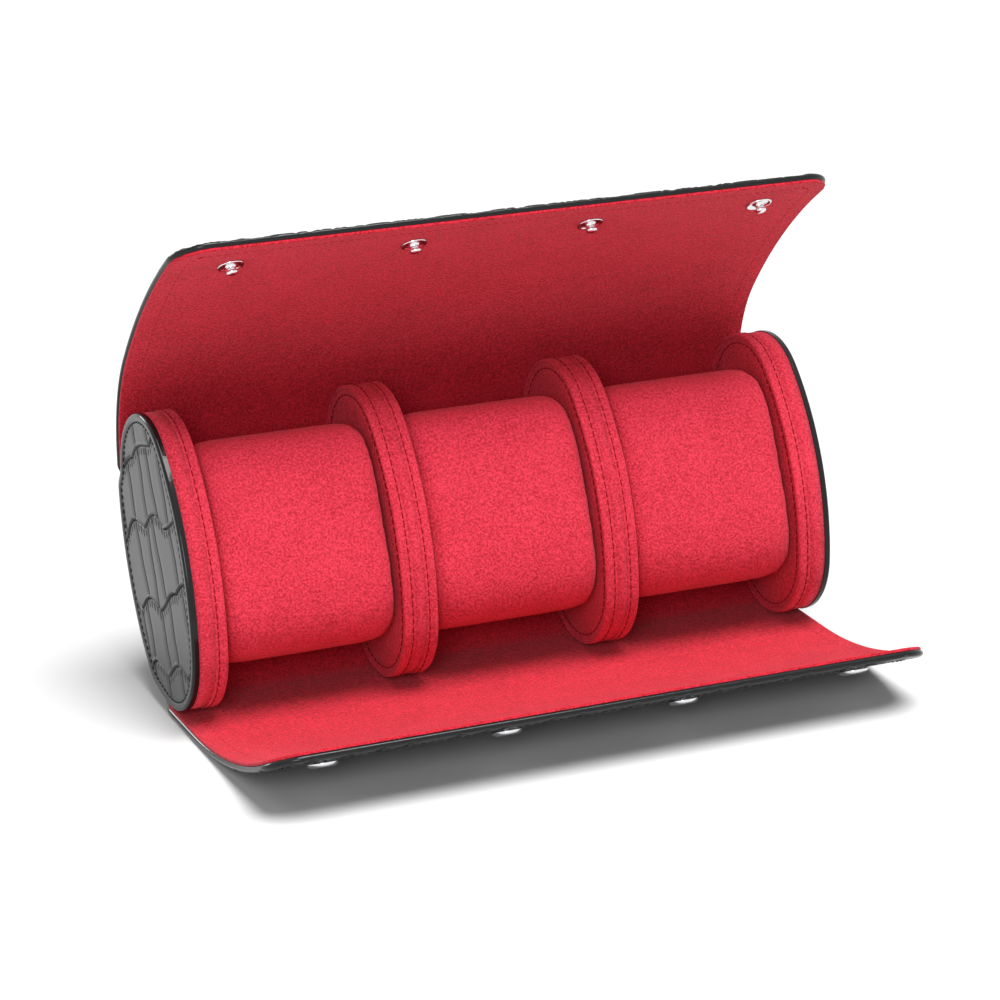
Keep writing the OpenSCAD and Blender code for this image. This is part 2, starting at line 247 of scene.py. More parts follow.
@dataclass(frozen=True)
class PanelSize:
    """Embossed leather panel of an end disc."""

    row: float = 23.5 * MM
    scale: float = 11.5 * MM
    line: float = 0.3 * MM
    shift: float = 10.5 * MM
    edge: float = 0.95 * MM
    seam: float = 3.0 * MM
    emboss_depth: float = 0.75 * MM
    emboss_start: float = 0.2 * MM
    emboss_fade: float = 0.6 * MM
    recess: float = 0.3 * MM
    recess_start: float = 1.8 * MM
    recess_width: float = 1.3 * MM
    groove: float = 0.14 * MM
    groove_width: float = 0.45 * MM
    paint_fade: float = 1 * MM
    wall: float = 0.5 * MM
    thread_sunk: float = 0.42 * MM
    cover_start: float = 7 * MM
    cover_stop: float = 6 * MM
    cover_end: float = 15 * MM
    around: int = 700
    bend_rings: int = 7
    seam_rings: tuple[float, float, int] = (1.35, 4.2, 9)
    inner_rings: int = 120
    inner_end: float = 0.01
    smoothing: int = 50

    def steps(self) -> Points:
        """Distances of the panel's outer rings from its edge.

        Returns:
            The distances.
        """
        bend = self.edge * (1 - np.cos(np.linspace(0, math.pi / 2, self.bend_rings)))
        return np.concatenate([bend, np.linspace(*self.seam_rings) * MM])


@dataclass(frozen=True)
class CushionSize:
    """A cushion before and after it is filled."""

    depth: float = 42.5 * MM
    height: float = 72 * MM
    forward: float = 5.5 * MM
    clearance: float = 0.3 * MM
    start_inset: float = 2.2 * MM
    end_inset: float = 0.5
    side_inset: float = 0.6
    exponent: float = 3.2
    end_exponent: float = 14.0
    end_rounding: float = 2.6
    end_share: float = 0.9
    seam_inset: float = 3.0 * MM
    seam_width: float = 0.9 * MM
    seam_pull: float = 0.25 * MM


@dataclass(frozen=True)
class Filling:
    """How the cloth simulation fills a cushion."""

    cloth_grid: float = 3.2 * MM
    pressure: float = 3.2
    mass: float = 0.3
    stiffness: float = 30
    bending: float = 3.0
    largest_move: float = 5 * MM
    frames: int = 20


@dataclass(frozen=True)
class StitchSize:
    """A row of stitches."""

    length: float = 2.3 * MM
    gap: float = 0.6 * MM
    radius: float = 0.17 * MM


# ---- Finishes ----


def rgb(red: float, green: float, blue: float) -> Colour:
    """Builds an opaque linear colour.

    Args:
        red: Red share, from 0 to 1.
        green: Green share.
        blue: Blue share.

    Returns:
        The colour with its alpha.
    """
    return (red, green, blue, 1.0)


class Graph:
    """The shader nodes of a material or of the world."""

    def __init__(self, owner: Union[bpy.types.Material, bpy.types.World]) -> None:
        """Switches the owner's nodes on.

        Args:
            owner: What the nodes dress.
        """
        owner.use_nodes = True
        self.tree = owner.node_tree

    def feed(self, node: bpy.types.Node, inputs: Mapping[Union[int, str], Feed]) -> None:
        """Sets a node's inputs.

        Args:
            node: The node.
            inputs: A value, or an output socket to link, for each input.
        """
        for key, value in inputs.items():
            if isinstance(value, bpy.types.NodeSocket):
                self.tree.links.new(value, node.inputs[key])
            else:
                node.inputs[key].default_value = value

    def add(
        self,
        kind: str,
        inputs: Mapping[Union[int, str], Feed],
        output: Union[int, str] = 0,
        **settings: str,
    ) -> bpy.types.NodeSocket:
        """Adds a node.

        Args:
            kind: The node's type, without its usual first word.
            inputs: Its inputs.
            output: The output that is wanted.
            **settings: The node's own settings.

        Returns:
            The output socket.
        """
        node = self.tree.nodes.new(f"ShaderNode{kind}")
        for label, value in settings.items():
            setattr(node, label, value)
        self.feed(node, inputs)
        return node.outputs[output]

    def math(self, operation: str, *values: Feed) -> bpy.types.NodeSocket:
        """Adds a calculation.

        Args:
            operation: What is calculated.
            *values: Its terms.

        Returns:
            The result.
        """
        return self.add("Math", dict(enumerate(values)), operation=operation)

    def mix(self, share: Feed, a: Feed, b: Feed, data_type: str = "FLOAT") -> bpy.types.NodeSocket:
        """Adds a mix of two values or colours.

        Args:
            share: Share of the second one.
            a: First one.
            b: Second one.
            data_type: Kind of value.

        Returns:
            The result.
        """
        inputs = {"Factor": share, "A": a, "B": b}
        return self.add("Mix", inputs, "Result", data_type=data_type)

    def span(self, value: Feed, low: float, high: float, top: float = 1.0) -> bpy.types.NodeSocket:
        """Turns a value from 0 to top into one from low to high.

        Args:
            value: The value.
            low: Result at 0.
            high: Result at the top.
            top: The value's other end.

        Returns:
            The result.
        """
        inputs = {"Value": value, "From Max": top, "To Min": low, "To Max": high}
        return self.add("MapRange", inputs, "Result")

    def noise(self, scale: float, detail: float = 3.0) -> bpy.types.NodeSocket:
        """Adds a noise in object coordinates.

        Args:
            scale: Grains in a metre.
            detail: Number of finer layers.

        Returns:
            The noise's value.
        """
        place = self.add("TexCoord", {}, "Object")
        return self.add("TexNoise", {"Vector": place, "Scale": scale, "Detail": detail}, "Fac")

    def bump(self, height: Feed, strength: float, distance: float) -> bpy.types.NodeSocket:
        """Adds a bump.

        Args:
            height: The surface's height.
            strength: Share of the bump that shows.
            distance: Height of the bump in metres.

        Returns:
            The bumped normal.
        """
        inputs = {"Strength": strength, "Distance": distance, "Height": height}
        return self.add("Bump", inputs, "Normal")


@dataclass(frozen=True)
class Finish:
    """A procedural material. Subclasses add their own nodes."""

    name: str
    colour: Colour
    roughness: float = 0.5
    metallic: float = 0.0
    grain: float = 1000.0
    bump: float = 0.0
    depth: float = 0.2 * MM
    shine: float = 0.5

    def material(self) -> bpy.types.Material:
        """Returns the finish's material, and builds it on first use.

        Returns:
            The Blender material.
        """
        found = bpy.data.materials.get(self.name)
        if found:
            return found
        made = bpy.data.materials.new(self.name)
        made.diffuse_color = self.colour
        graph = Graph(made)
        plain = {
            "Base Color": self.colour,
            "Roughness": self.roughness,
            "Metallic": self.metallic,
            "Specular IOR Level": self.shine,
        }
        graph.feed(graph.tree.nodes["Principled BSDF"], {**plain, **self.dress(graph)})
        return made

    def dress(self, graph: Graph) -> dict[str, Feed]:
        """Adds this finish's own nodes. The plain finish has a faint grain.

        Args:
            graph: The material's nodes.

        Returns:
            The shader's inputs.
        """
        return {"Normal": graph.bump(graph.noise(self.grain), self.bump, self.depth)}


@dataclass(frozen=True)
class Suede(Finish):
    """Short nap with a mottled colour and a soft sheen at grazing angles."""

    shade: Colour = rgb(0.5, 0.01, 0.03)
    sheen: float = 0.04
    sheen_roughness: float = 0.45
    sheen_tint: Colour = rgb(1.0, 0.7, 0.8)
    fine_detail: float = 4.0
    patches: float = 80.0
    patch_share: float = 0.12
    shade_from: float = 0.36
    colour_from: float = 0.62

    def dress(self, graph: Graph) -> dict[str, Feed]:
        """Mixes two reds by a fine and a broad noise, and raises the nap.

        Args:
            graph: The material's nodes.

        Returns:
            The shader's inputs.
        """
        fine = graph.noise(self.grain, self.fine_detail)
        nap = graph.math("MULTIPLY", fine, 1 - self.patch_share)
        mottle = graph.math("MULTIPLY_ADD", graph.noise(self.patches), self.patch_share, nap)
        red = graph.add("ValToRGB", {"Fac": mottle}, "Color")
        stops = ((self.shade_from, self.shade), (self.colour_from, self.colour))
        for stop, (position, colour) in zip(red.node.color_ramp.elements, stops):
            stop.position, stop.color = position, colour
        return {
            "Base Color": red,
            "Sheen Weight": self.sheen,
            "Sheen Roughness": self.sheen_roughness,
            "Sheen Tint": self.sheen_tint,
            "Normal": graph.bump(fine, self.bump, self.depth),
        }


@dataclass(frozen=True)
class Leather(Finish):
    """Polished leather, duller in its creases and glossy at its painted edges, with painted shade
    that darkens its creases and a painted highlight that lightens its scales' lips.
    """

    coat: float = 0.1
    coat_roughness: float = 0.25
    # Painted highlight: a lighter grey mixed into the colour on the scales' raised lips, where the
    # crease tone is below 0.
    painted_lip_highlight: Colour = rgb(0.07, 0.07, 0.072)
    painted_highlight_from: float = -0.4
    # Painted shade: a near-black colour mixed in by how deep each point is pressed, darkening the
    # creases.
    crease: Colour = rgb(0.002, 0.002, 0.002)
    crease_roughness: float = 0.3
    crease_shine: float = 0.12
    edge_roughness: float = 0.1
    edge_shine: float = 0.2
    ripple: float = 420.0
    waves: float = 2.5
    fine_detail: float = 4.0
    ripple_detail: float = 2.0

    def dress(self, graph: Graph) -> dict[str, Feed]:
        """Reads how deep each point is pressed and where the painted edges are; the depth also
        paints shade into the creases and a highlight onto the lips.

        Args:
            graph: The material's nodes.

        Returns:
            The shader's inputs.
        """
        pressed = graph.add("Attribute", {}, "Fac", attribute_name="crease")
        painted = graph.add("Attribute", {}, "Fac", attribute_name="edge")
        dull = graph.span(pressed, self.roughness, self.roughness + self.crease_roughness)
        dim = graph.span(pressed, self.shine, self.crease_shine)
        # Painted highlight on the lips, where the crease tone falls below 0.
        highlight_share = graph.span(pressed, 0.0, 1.0, self.painted_highlight_from)
        with_lip_highlight = graph.mix(highlight_share, self.colour, self.painted_lip_highlight, "RGBA")
        ripple = graph.math("MULTIPLY", graph.noise(self.ripple, self.ripple_detail), self.waves)
        fine = graph.noise(self.grain, self.fine_detail)
        height = graph.math("MULTIPLY_ADD", ripple, painted, fine)
        return {
            # Painted shade: the colour goes near black in the pressed creases.
            "Base Color": graph.mix(pressed, with_lip_highlight, self.crease, "RGBA"),
            "Roughness": graph.mix(painted, dull, self.edge_roughness),
            "Specular IOR Level": graph.mix(painted, dim, self.edge_shine),
            "Coat Weight": self.coat,
            "Coat Roughness": self.coat_roughness,
            "Normal": graph.bump(height, self.bump, self.depth),
        }


SUEDE = Suede(
    "red_suede", rgb(0.77, 0.042, 0.082), 0.95, grain=1450.0, bump=0.85, depth=0.5 * MM,
    shade=rgb(0.44, 0.011, 0.026), shine=0.4, sheen=0.06,
)
LINING = Suede(
    "suede_lining", rgb(0.68, 0.017, 0.041), 0.95, grain=1400.0, bump=0.95, depth=0.7 * MM,
    shade=rgb(0.36, 0.002, 0.01), shine=0.35, sheen=0.12,
)
RED_THREAD = Finish(
    "red_thread", rgb(0.27, 0.005, 0.011), 0.9, grain=6000.0, bump=0.3, shine=0.03
)
LINING_THREAD = Finish(
    "lining_thread", rgb(0.36, 0.01, 0.018), 0.9, grain=6000.0, bump=0.3, shine=0.03
)
BLACK_THREAD = Finish("black_thread", rgb(0.004, 0.004, 0.005), 0.7, grain=6000.0, bump=0.4)
CROC = Leather("embossed_leather", rgb(0.008, 0.008, 0.009), 0.33, grain=1100.0, bump=0.1)
METAL = Finish("polished_metal", rgb(0.74, 0.74, 0.76), 0.16, 1.0, grain=2500.0, bump=0.03)
PALE = Finish("white_floor", rgb(0.7, 0.7, 0.7), 0.9, grain=40.0)


# ---- Meshes ----


def add_mesh(
    name: str,
    points: Points,
    faces: Faces,
    finish: Finish,
    tones: Optional[dict[str, Points]] = None,
    flat_from: Optional[int] = None,
) -> bpy.types.Object:
    """Adds a smooth-shaded mesh to the scene. A closed one is turned to face outwards.

    Args:
        name: The piece's name.
        points: Vertices in metres, one row each.
        faces: Corner numbers of each face.
        finish: The piece's finish.
        tones: Values from -1 to 1 at each vertex, by the name their finish reads.
        flat_from: Number of the first face that is shaded flat.

    Returns:
        The new object.
    """
    mesh = bpy.data.meshes.new(name)
    mesh.from_pydata(points.tolist(), [], faces)
    first_flat = len(faces) if flat_from is None else flat_from
    mesh.polygons.foreach_set("use_smooth", np.arange(len(faces)) < first_flat)
    if first_flat < len(faces):
        edges = np.zeros(len(mesh.loops), int)
        mesh.loops.foreach_get("edge_index", edges)
        sharp = np.zeros(len(mesh.edges), bool)
        sharp[edges[mesh.polygons[first_flat].loop_start :]] = True
        mesh.edges.foreach_set("use_edge_sharp", sharp)
    for label, values in (tones or {}).items():
        layer = mesh.attributes.new(label, "FLOAT", "POINT")
        layer.data.foreach_set("value", np.clip(values, -1, 1).astype(np.float32))
    form = bmesh.new()
    form.from_mesh(mesh)
    if all(edge.is_manifold for edge in form.edges) and form.calc_volume(signed=True) < 0:
        mesh.flip_normals()
    form.free()
    mesh.materials.append(finish.material())
    mesh.validate()
    mesh.update()
    obj = bpy.data.objects.new(name, mesh)
    bpy.context.scene.collection.objects.link(obj)
    log.info("%s: %d vertices, %d faces", name, len(mesh.vertices), len(mesh.polygons))
    return obj


def ring_faces(rings: int, around: int) -> Points:
    """Joins closed rings of vertices, each to the next.

    Args:
        rings: Number of rings.
        around: Vertices in each ring.

    Returns:
        The faces' corner numbers.
    """
    i, j = np.meshgrid(np.arange(rings - 1) * around, np.arange(around), indexing="ij")
    k = (j + 1) % around
    return np.stack([i + j, i + k, i + around + k, i + around + j], axis=-1).reshape(-1, 4)


def closed_rings(rings: int, around: int) -> Faces:
    """Joins rings of vertices and closes both ends.

    Args:
        rings: Number of rings.
        around: Vertices in each ring.

    Returns:
        The faces' corner numbers. The first ring's end is the last face.
    """
    last = (rings - 1) * around
    ends = [list(range(last, last + around)), list(range(around))[::-1]]
    return ring_faces(rings, around).tolist() + ends


def copies(faces: Faces, size: int, count: int) -> Faces:
    """Numbers the faces of several equal forms.

    Args:
        faces: One form's faces.
        size: Its number of vertices.
        count: Number of forms.

    Returns:
        The faces of all of them.
    """
    return [[c + n * size for c in f] for n in range(count) for f in faces]


def with_x(x: Places, yz: Points) -> Points:
    """Puts places along X before rows of Y and Z.

    Args:
        x: One place, or one for each row.
        yz: The rows.

    Returns:
        Rows of X, Y and Z.
    """
    return np.concatenate([np.broadcast_to(x, yz.shape[:-1])[..., None], yz], axis=-1)


def closed_path(path: Points) -> Points:
    """Leads a path back to its start.

    Args:
        path: Rows of places.

    Returns:
        The rows, with the first one again at the end.
    """
    return np.vstack([path, path[:1]])


def around_point(first: float, second: float, rows: Pairs) -> list[tuple[float, float]]:
    """Places a profile's points round one of its sizes.

    Args:
        first: The size that their first value is measured from.
        second: The one for the second value.
        rows: The points, in millimetres.

    Returns:
        The points, in metres.
    """
    return [(first + a * MM, second + b * MM) for a, b in rows]


def distances(path: Points) -> Points:
    """Measures along a path.

    Args:
        path: Rows of places.

    Returns:
        The distance from the start to each of them.
    """
    return np.concatenate([[0], np.cumsum(np.linalg.norm(np.diff(path, axis=0), axis=1))])


def sample(values: Points, run: Points, at: Points) -> Points:
    """Reads rows between the places where they are known.

    Args:
        values: The rows.
        run: Distance of each row.
        at: Distances to read at.

    Returns:
        A row for each distance.
    """
    return np.stack([np.interp(at, run, column) for column in values.T], axis=-1)


def smooth_step(t: Places) -> Places:
    """Eases from 0 to 1.

    Args:
        t: Share of the way, clipped to 0 and 1.

    Returns:
        The eased share.
    """
    t = np.clip(t, 0, 1)
    return t * t * (3 - 2 * t)


def bell(distance: Places, width: float) -> Places:
    """Rises smoothly to 1 over a line.

    Args:
        distance: Distance from the line.
        width: Distance at which about a third is left.

    Returns:
        The height, from 0 to 1.
    """
    return np.exp(-((distance / width) ** 2))


@dataclass(frozen=True)
class CreaseShape:
    """Cross-sections of the pressed creases. Widths without a unit are in crease widths."""

    reach: float = 3.0
    row_width: float = 1.5
    column_depth: float = 0.75
    column_width: float = 0.72
    column_wave: float = 0.25 * MM
    column_wave_length: float = 2.6 * MM
    pillow_depth: float = 0.22
    pillow_reach: float = 3 * MM
    pillow_rows: float = 1.4
    wrinkle_depth: float = 0.5
    wrinkle_width: float = 0.75
    wrinkle_pitch: float = 0.2
    wrinkle_wander: float = 0.35
    wrinkle_length: float = 3.4 * MM
    wrinkle_fade: float = 1.2 * MM
    wrinkle_start: float = 0.4 * MM
    lip_height: float = 0.5
    lip_place: float = 2.7
    lip_width: float = 1.15


class ScaleEmboss:
    """Pressed pattern of tall scales in rows, with short wrinkles under each row."""

    REACH = 16
    COLUMNS = 120
    WAVES = ((0.1, 6.1), (0.05, 2.3))
    ZIGZAG = (0.11, 1.7)
    OFFSET = 0.3
    LEAN = 0.08
    SHIFT = 0.5

    def __init__(
        self, seed: int, row: float, width: float, line: float, shift: float = 0.0
    ) -> None:
        """Draws the rows and columns of one panel.

        Args:
            seed: Number that fixes the pattern.
            row: Height of a row of scales.
            width: Usual width of a scale.
            line: Half-width of a crease.
            shift: Distance by which the rows are moved up.
        """
        self.shift = shift
        self.row = row
        self.width = width
        self.line = line
        self.shape = CreaseShape()
        self.rows = np.arange(-self.REACH, self.REACH + 1)
        rng = np.random.default_rng(seed)
        cells = (len(self.rows), self.COLUMNS)
        self.phase = rng.uniform(0, 2 * math.pi, (len(self.rows), 3))
        self.offsets = rng.uniform(-self.OFFSET, self.OFFSET, cells)
        self.leans = rng.uniform(-self.LEAN, self.LEAN, cells)
        self.shifts = rng.uniform(-self.SHIFT, self.SHIFT, len(self.rows))

    def border(self, number: int, a: Points) -> Points:
        """Height of the wavy line at the bottom of a row.

        Args:
            number: The row.
            a: Places across the panel.

        Returns:
            The line's height at each place.
        """
        first, second, third = self.phase[number]
        height, pitch = self.ZIGZAG
        wave = height * np.abs(np.sin(math.pi * a / (pitch * self.width) + third))
        for (height, pitch), phase in zip(self.WAVES, (first, second)):
            wave += height * np.sin(2 * math.pi * a / (pitch * self.width) + phase)
        return self.row * (self.rows[number] + wave)

    def column_gap(self, number: int, a: Points, b: Points, middle: Points) -> Points:
        """Distance to the nearest crease between two scales of a row.

        Args:
            number: The row.
            a: Places across the panel.
            b: Places along it.
            middle: Height of the row's middle.

        Returns:
            The distance at each place.
        """
        shape = self.shape
        cell = np.round(a / self.width - self.shifts[number]).astype(int)
        best = np.full(a.shape, 1.0)
        for step in (-1, 0, 1):
            index = np.clip(cell + step + self.COLUMNS // 2, 0, self.COLUMNS - 1)
            line = cell + step + self.offsets[number][index] + self.shifts[number]
            line = line * self.width + self.leans[number][index] * (b - middle)
            line += shape.column_wave * np.sin(b / shape.column_wave_length + index)
            best = np.minimum(best, np.abs(a - line))
        return best

    def wrinkles(self, number: int, a: Points, below: Points) -> Points:
        """Depth of the short wrinkles that hang from a row's upper border.

        Args:
            number: The row.
            a: Places across the panel.
            below: Distance below that border.

        Returns:
            The depth at each place.
        """
        shape = self.shape
        pitch = shape.wrinkle_pitch * self.width
        wander = shape.wrinkle_wander * np.sin(a / self.width + number)
        tick = np.abs((a / pitch + wander) % 1 - 0.5) * pitch
        fade = smooth_step((shape.wrinkle_length - below) / shape.wrinkle_fade)
        fade = fade * (below > shape.wrinkle_start)
        return shape.wrinkle_depth * bell(tick, shape.wrinkle_width * self.line) * fade

    def depth(self, a: Points, b: Points) -> Points:
        """How deep each place is pressed.

        Args:
            a: Places across the panel.
            b: Places along it.

        Returns:
            Depth from 0, on a scale, to 1, in a row's crease. A lip is slightly below 0.
        """
        shape, line = self.shape, self.line
        deep = np.zeros(a.shape)
        b = b - self.shift
        for number in range(1, len(self.rows) - 1):
            low, high = self.border(number, a), self.border(number + 1, a)
            near = (b > low - shape.reach * line) & (b < high + shape.reach * line)
            if not near.any():
                continue
            gap = np.minimum(np.abs(b - low), np.abs(b - high))
            deep = np.where(near, np.maximum(deep, bell(gap, shape.row_width * line)), deep)
            column = self.column_gap(number, a, b, (low + high) / 2)
            nearest = np.minimum(column, shape.pillow_rows * gap)
            pillow = shape.pillow_depth * (1 - smooth_step(nearest / shape.pillow_reach))
            crease = shape.column_depth * bell(column, shape.column_width * line)
            wrinkle = self.wrinkles(number, a, high - b)
            lip = bell(b - low - shape.lip_place * line, shape.lip_width * line)
            pressed = np.maximum.reduce([deep, crease, pillow, wrinkle])
            scale = (b >= low) & (b < high)
            deep = np.where(scale, pressed - shape.lip_height * lip, deep)
        return deep


# ---- Course of the sheet and outline of the discs ----


class Oval:
    """Points round a disc, in the part's Y and Z."""

    FINE = 4001

    def __init__(self, size: OvalSize, middle: tuple[float, float]) -> None:
        """Keeps the outline's size and place.

        Args:
            size: The oval's size.
            middle: Y and Z of its middle.
        """
        self.size = size
        self.middle = np.array(middle)
        self.lean = math.cos(size.lean), math.sin(size.lean)

    def to_part(self, a: Points, b: Points) -> Points:
        """Turns places on the oval's own axes into Y and Z.

        Args:
            a: Places along the short axis, backwards.
            b: Places along the long axis, upwards.

        Returns:
            Rows of Y and Z.
        """
        c, s = self.lean
        return np.stack([self.middle[0] + a * c + b * s, self.middle[1] - a * s + b * c], axis=-1)

    def to_oval(self, yz: Points) -> tuple[Points, Points]:
        """Turns Y and Z into places on the oval's own axes.

        Args:
            yz: Rows of Y and Z.

        Returns:
            Places along the short and the long axis.
        """
        c, s = self.lean
        dy, dz = (yz - self.middle).T
        return dy * c - dz * s, dy * s + dz * c

    def at(self, phi: Points, inset: float) -> Points:
        """Points whose outward normal makes the angle phi with the short axis.

        Args:
            phi: Normal angles in radians.
            inset: Distance inwards from the outline.

        Returns:
            Rows of Y and Z.
        """
        q = self.size
        turned = (phi + math.pi) % (2 * math.pi) - math.pi
        back = np.abs(turned) < q.join_angle
        front = np.abs(turned) > math.pi - q.join_angle
        ca = np.where(back, -q.side_centre, np.where(front, q.side_centre, 0.0))
        cb = np.where(back | front, 0.0, np.sign(turned) * q.end_centre)
        r = np.where(back | front, q.side_radius, q.end_radius) - inset
        return self.to_part(ca + r * np.cos(turned), cb + r * np.sin(turned))

    def angles(self, count: int) -> Points:
        """Normal angles that space points evenly round the oval.

        Args:
            count: Number of points.

        Returns:
            The angles.
        """
        fine = np.linspace(0, 2 * math.pi, self.FINE)
        run = distances(self.at(fine, 0.0))
        return np.interp(np.linspace(0, run[-1], count, endpoint=False), run, fine)


@dataclass(frozen=True)
class Arc:
    """A straight or evenly curved piece of a course, from where it starts."""

    run: float
    y: float
    z: float
    heading: float
    curve: float

    def pose(self, s: Places) -> tuple[Places, Places, Places]:
        """Follows the piece.

        Args:
            s: Distances from the course's start.

        Returns:
            Y, Z and heading at each distance.
        """
        d = s - self.run
        turned = self.heading + d * self.curve
        c, n = math.cos(self.heading), math.sin(self.heading)
        if self.curve:
            across, up = (np.sin(turned) - n) / self.curve, (c - np.cos(turned)) / self.curve
            return self.y + across, self.z + up, turned
        return self.y + d * c, self.z + d * n, turned


class SheetCourse:
    """Follows the sheet from the lid's free edge round the back to the front flap's."""

    def __init__(self, sheet: SheetSize, oval: OvalSize) -> None:
        """Works out the course from the sheet's and the oval's sizes.

        Args:
            sheet: The sheet's size.
            oval: The discs' size.
        """
        self.sheet = sheet
        wrap = oval.side_radius + sheet.wrap_gap
        drop = oval.end_centre * math.cos(oval.lean) + oval.end_radius + sheet.wrap_gap
        low_y = -oval.end_centre * math.sin(oval.lean)
        cy = -oval.side_centre * math.cos(oval.lean)
        cz = oval.side_centre * math.sin(oval.lean)
        r = sheet.base_bend_radius
        bend_z = r - drop
        bend_y = cy + math.sqrt((wrap - r) ** 2 - (bend_z - cz) ** 2)
        leave = oval.join_angle - oval.lean
        bend = math.atan2(bend_z - cz, bend_y - cy)
        self.middle = (-(bend_y + low_y - sheet.front_first_fold) / 2, drop + sheet.thickness)
        start_y = self.middle[0] + cy + wrap * math.cos(leave)
        start_z = self.middle[1] + cz + wrap * math.sin(leave)
        curved = sheet.lid_straight + sheet.lid_bend_length
        up = [
            (sheet.lid_straight, 0.0),
            (sheet.lid_bend_length, 1 / sheet.lid_bend_radius),
            (sheet.lid_length - curved, 1 / sheet.lid_panel_radius),
        ]
        flat = sheet.front_first_fold + sheet.front_fold_pitch
        down = [
            (wrap * (leave - bend), -1 / wrap),
            (r * (bend + math.pi / 2), -1 / r),
            (bend_y - low_y + flat, 0.0),
            (sheet.front_length - flat, -1 / sheet.front_radius),
        ]
        self.sewn = down[0][0] + down[1][0] + bend_y - low_y
        self.bottom = sheet.lid_length + self.sewn
        self.length = self.bottom + sheet.front_length
        self.up = self.walk((start_y, start_z, leave + math.pi / 2), up)
        self.down = self.walk((start_y, start_z, leave - math.pi / 2), down)

    @staticmethod
    def walk(start: tuple[float, float, float], pieces: Pairs) -> list[Arc]:
        """Lists the pieces of a course.

        Args:
            start: Y, Z and heading at the start.
            pieces: Length and curvature of each piece.

        Returns:
            The pieces, each where the one before it ends.
        """
        arcs, run, pose = [], 0.0, start
        for length, curve in pieces:
            arcs.append(Arc(run, *pose, curve))
            run += length
            pose = arcs[-1].pose(run)
        return arcs

    @staticmethod
    def along(arcs: Sequence[Arc], s: Points) -> tuple[Points, ...]:
        """Finds places at distances along one course.

        Args:
            arcs: The course's pieces.
            s: Distances from its start.

        Returns:
            Y, Z and heading at each distance.
        """
        pose = arcs[0].pose(s)
        for arc in arcs[1:]:
            pose = tuple(np.where(s >= arc.run, new, old) for new, old in zip(arc.pose(s), pose))
        return pose

    def at(self, u: Places, offset: Places) -> Points:
        """Places on the sheet.

        Args:
            u: Distance from the lid's free edge, along the lining's surface.
            offset: Distance outwards from that surface.

        Returns:
            Rows of Y and Z.
        """
        u, offset = np.broadcast_arrays(np.asarray(u, float), np.asarray(offset, float))
        lid = u < self.sheet.lid_length
        ya, za, ha = self.along(self.up, self.sheet.lid_length - u)
        yb, zb, hb = self.along(self.down, u - self.sheet.lid_length)
        y = np.where(lid, ya, yb) + offset * np.where(lid, np.sin(ha), -np.sin(hb))
        z = np.where(lid, za, zb) + offset * np.where(lid, -np.cos(ha), np.cos(hb))
        return np.stack([y, z], axis=-1)

    def outward(self, u: Places) -> Points:
        """Outward directions on the sheet.

        Args:
            u: Distances from the lid's free edge.

        Returns:
            Rows of Y and Z.
        """
        return self.at(u, 1.0) - self.at(u, 0.0)


# ---- Stitches ----


class Stitcher:
    """Sews rows of short stitches along lines."""

    SIDES = 6
    # Place along the stitch, rise and thickness of each ring, as shares of its size.
    PROFILE = (
        (0.0, -0.6, 0.35),
        (0.12, 0.35, 0.95),
        (0.5, 0.75, 1.0),
        (0.88, 0.35, 0.95),
        (1.0, -0.6, 0.35),
    )

    def __init__(self, size: StitchSize) -> None:
        """Keeps the stitches' size.

        Args:
            size: Size of one stitch and its gap.
        """
        self.size = size

    def sew(
        self,
        name: str,
        line: Points,
        normals: Points,
        finish: Finish,
        slot: str,
        keep: Optional[Callable[[Points], Points]] = None,
    ) -> Optional[bpy.types.Object]:
        """Makes the stitches along a line as one piece.

        Args:
            name: The piece's name.
            line: Points along the line. A closed one ends where it starts.
            normals: Directions away from the surface, one for each point.
            finish: The thread's finish.
            slot: Not used.
            keep: Tells from their middles which stitches belong to this piece.

        Returns:
            The new object, or nothing where no stitch is kept.
        """
        size = self.size
        run = distances(line)
        count = max(1, int(run[-1] / (size.length + size.gap)))
        starts = np.arange(count) * run[-1] / count
        if keep is not None:
            starts = starts[keep(sample(line, run, starts + size.length / 2))]
        if not len(starts):
            return None
        share, rise, thickness = np.array(self.PROFILE).T
        at = starts[:, None] + share * size.length
        centre = sample(line, run, at.ravel()).reshape(*at.shape, 3)
        up = sample(normals, run, at.ravel()).reshape(centre.shape)
        up /= np.linalg.norm(up, axis=-1, keepdims=True)
        centre = centre + up * (rise * size.radius)[:, None]
        across = np.cross(np.gradient(centre, axis=1), up)
        across /= np.linalg.norm(across, axis=-1, keepdims=True)
        turn = (np.arange(self.SIDES) * 2 * math.pi / self.SIDES)[:, None]
        round_it = across[:, :, None] * np.cos(turn) + up[:, :, None] * np.sin(turn)
        rings = centre[:, :, None] + (thickness * size.radius)[:, None, None] * round_it
        one = closed_rings(len(share), self.SIDES)
        faces = copies(one, len(share) * self.SIDES, len(starts))
        return add_mesh(name, rings.reshape(-1, 3), faces, finish)


# ---- The wrapped sheet ----


@dataclass(frozen=True)
class Stretch:
    """A stretch of the sheet that spans one fold line, or rides on one body."""

    name: str
    start: float
    end: float
    bodies: tuple[str, ...]
    nodes: tuple[str, ...]
    lining_nodes: tuple[str, ...]
    bend: tuple[float, ...] = ()


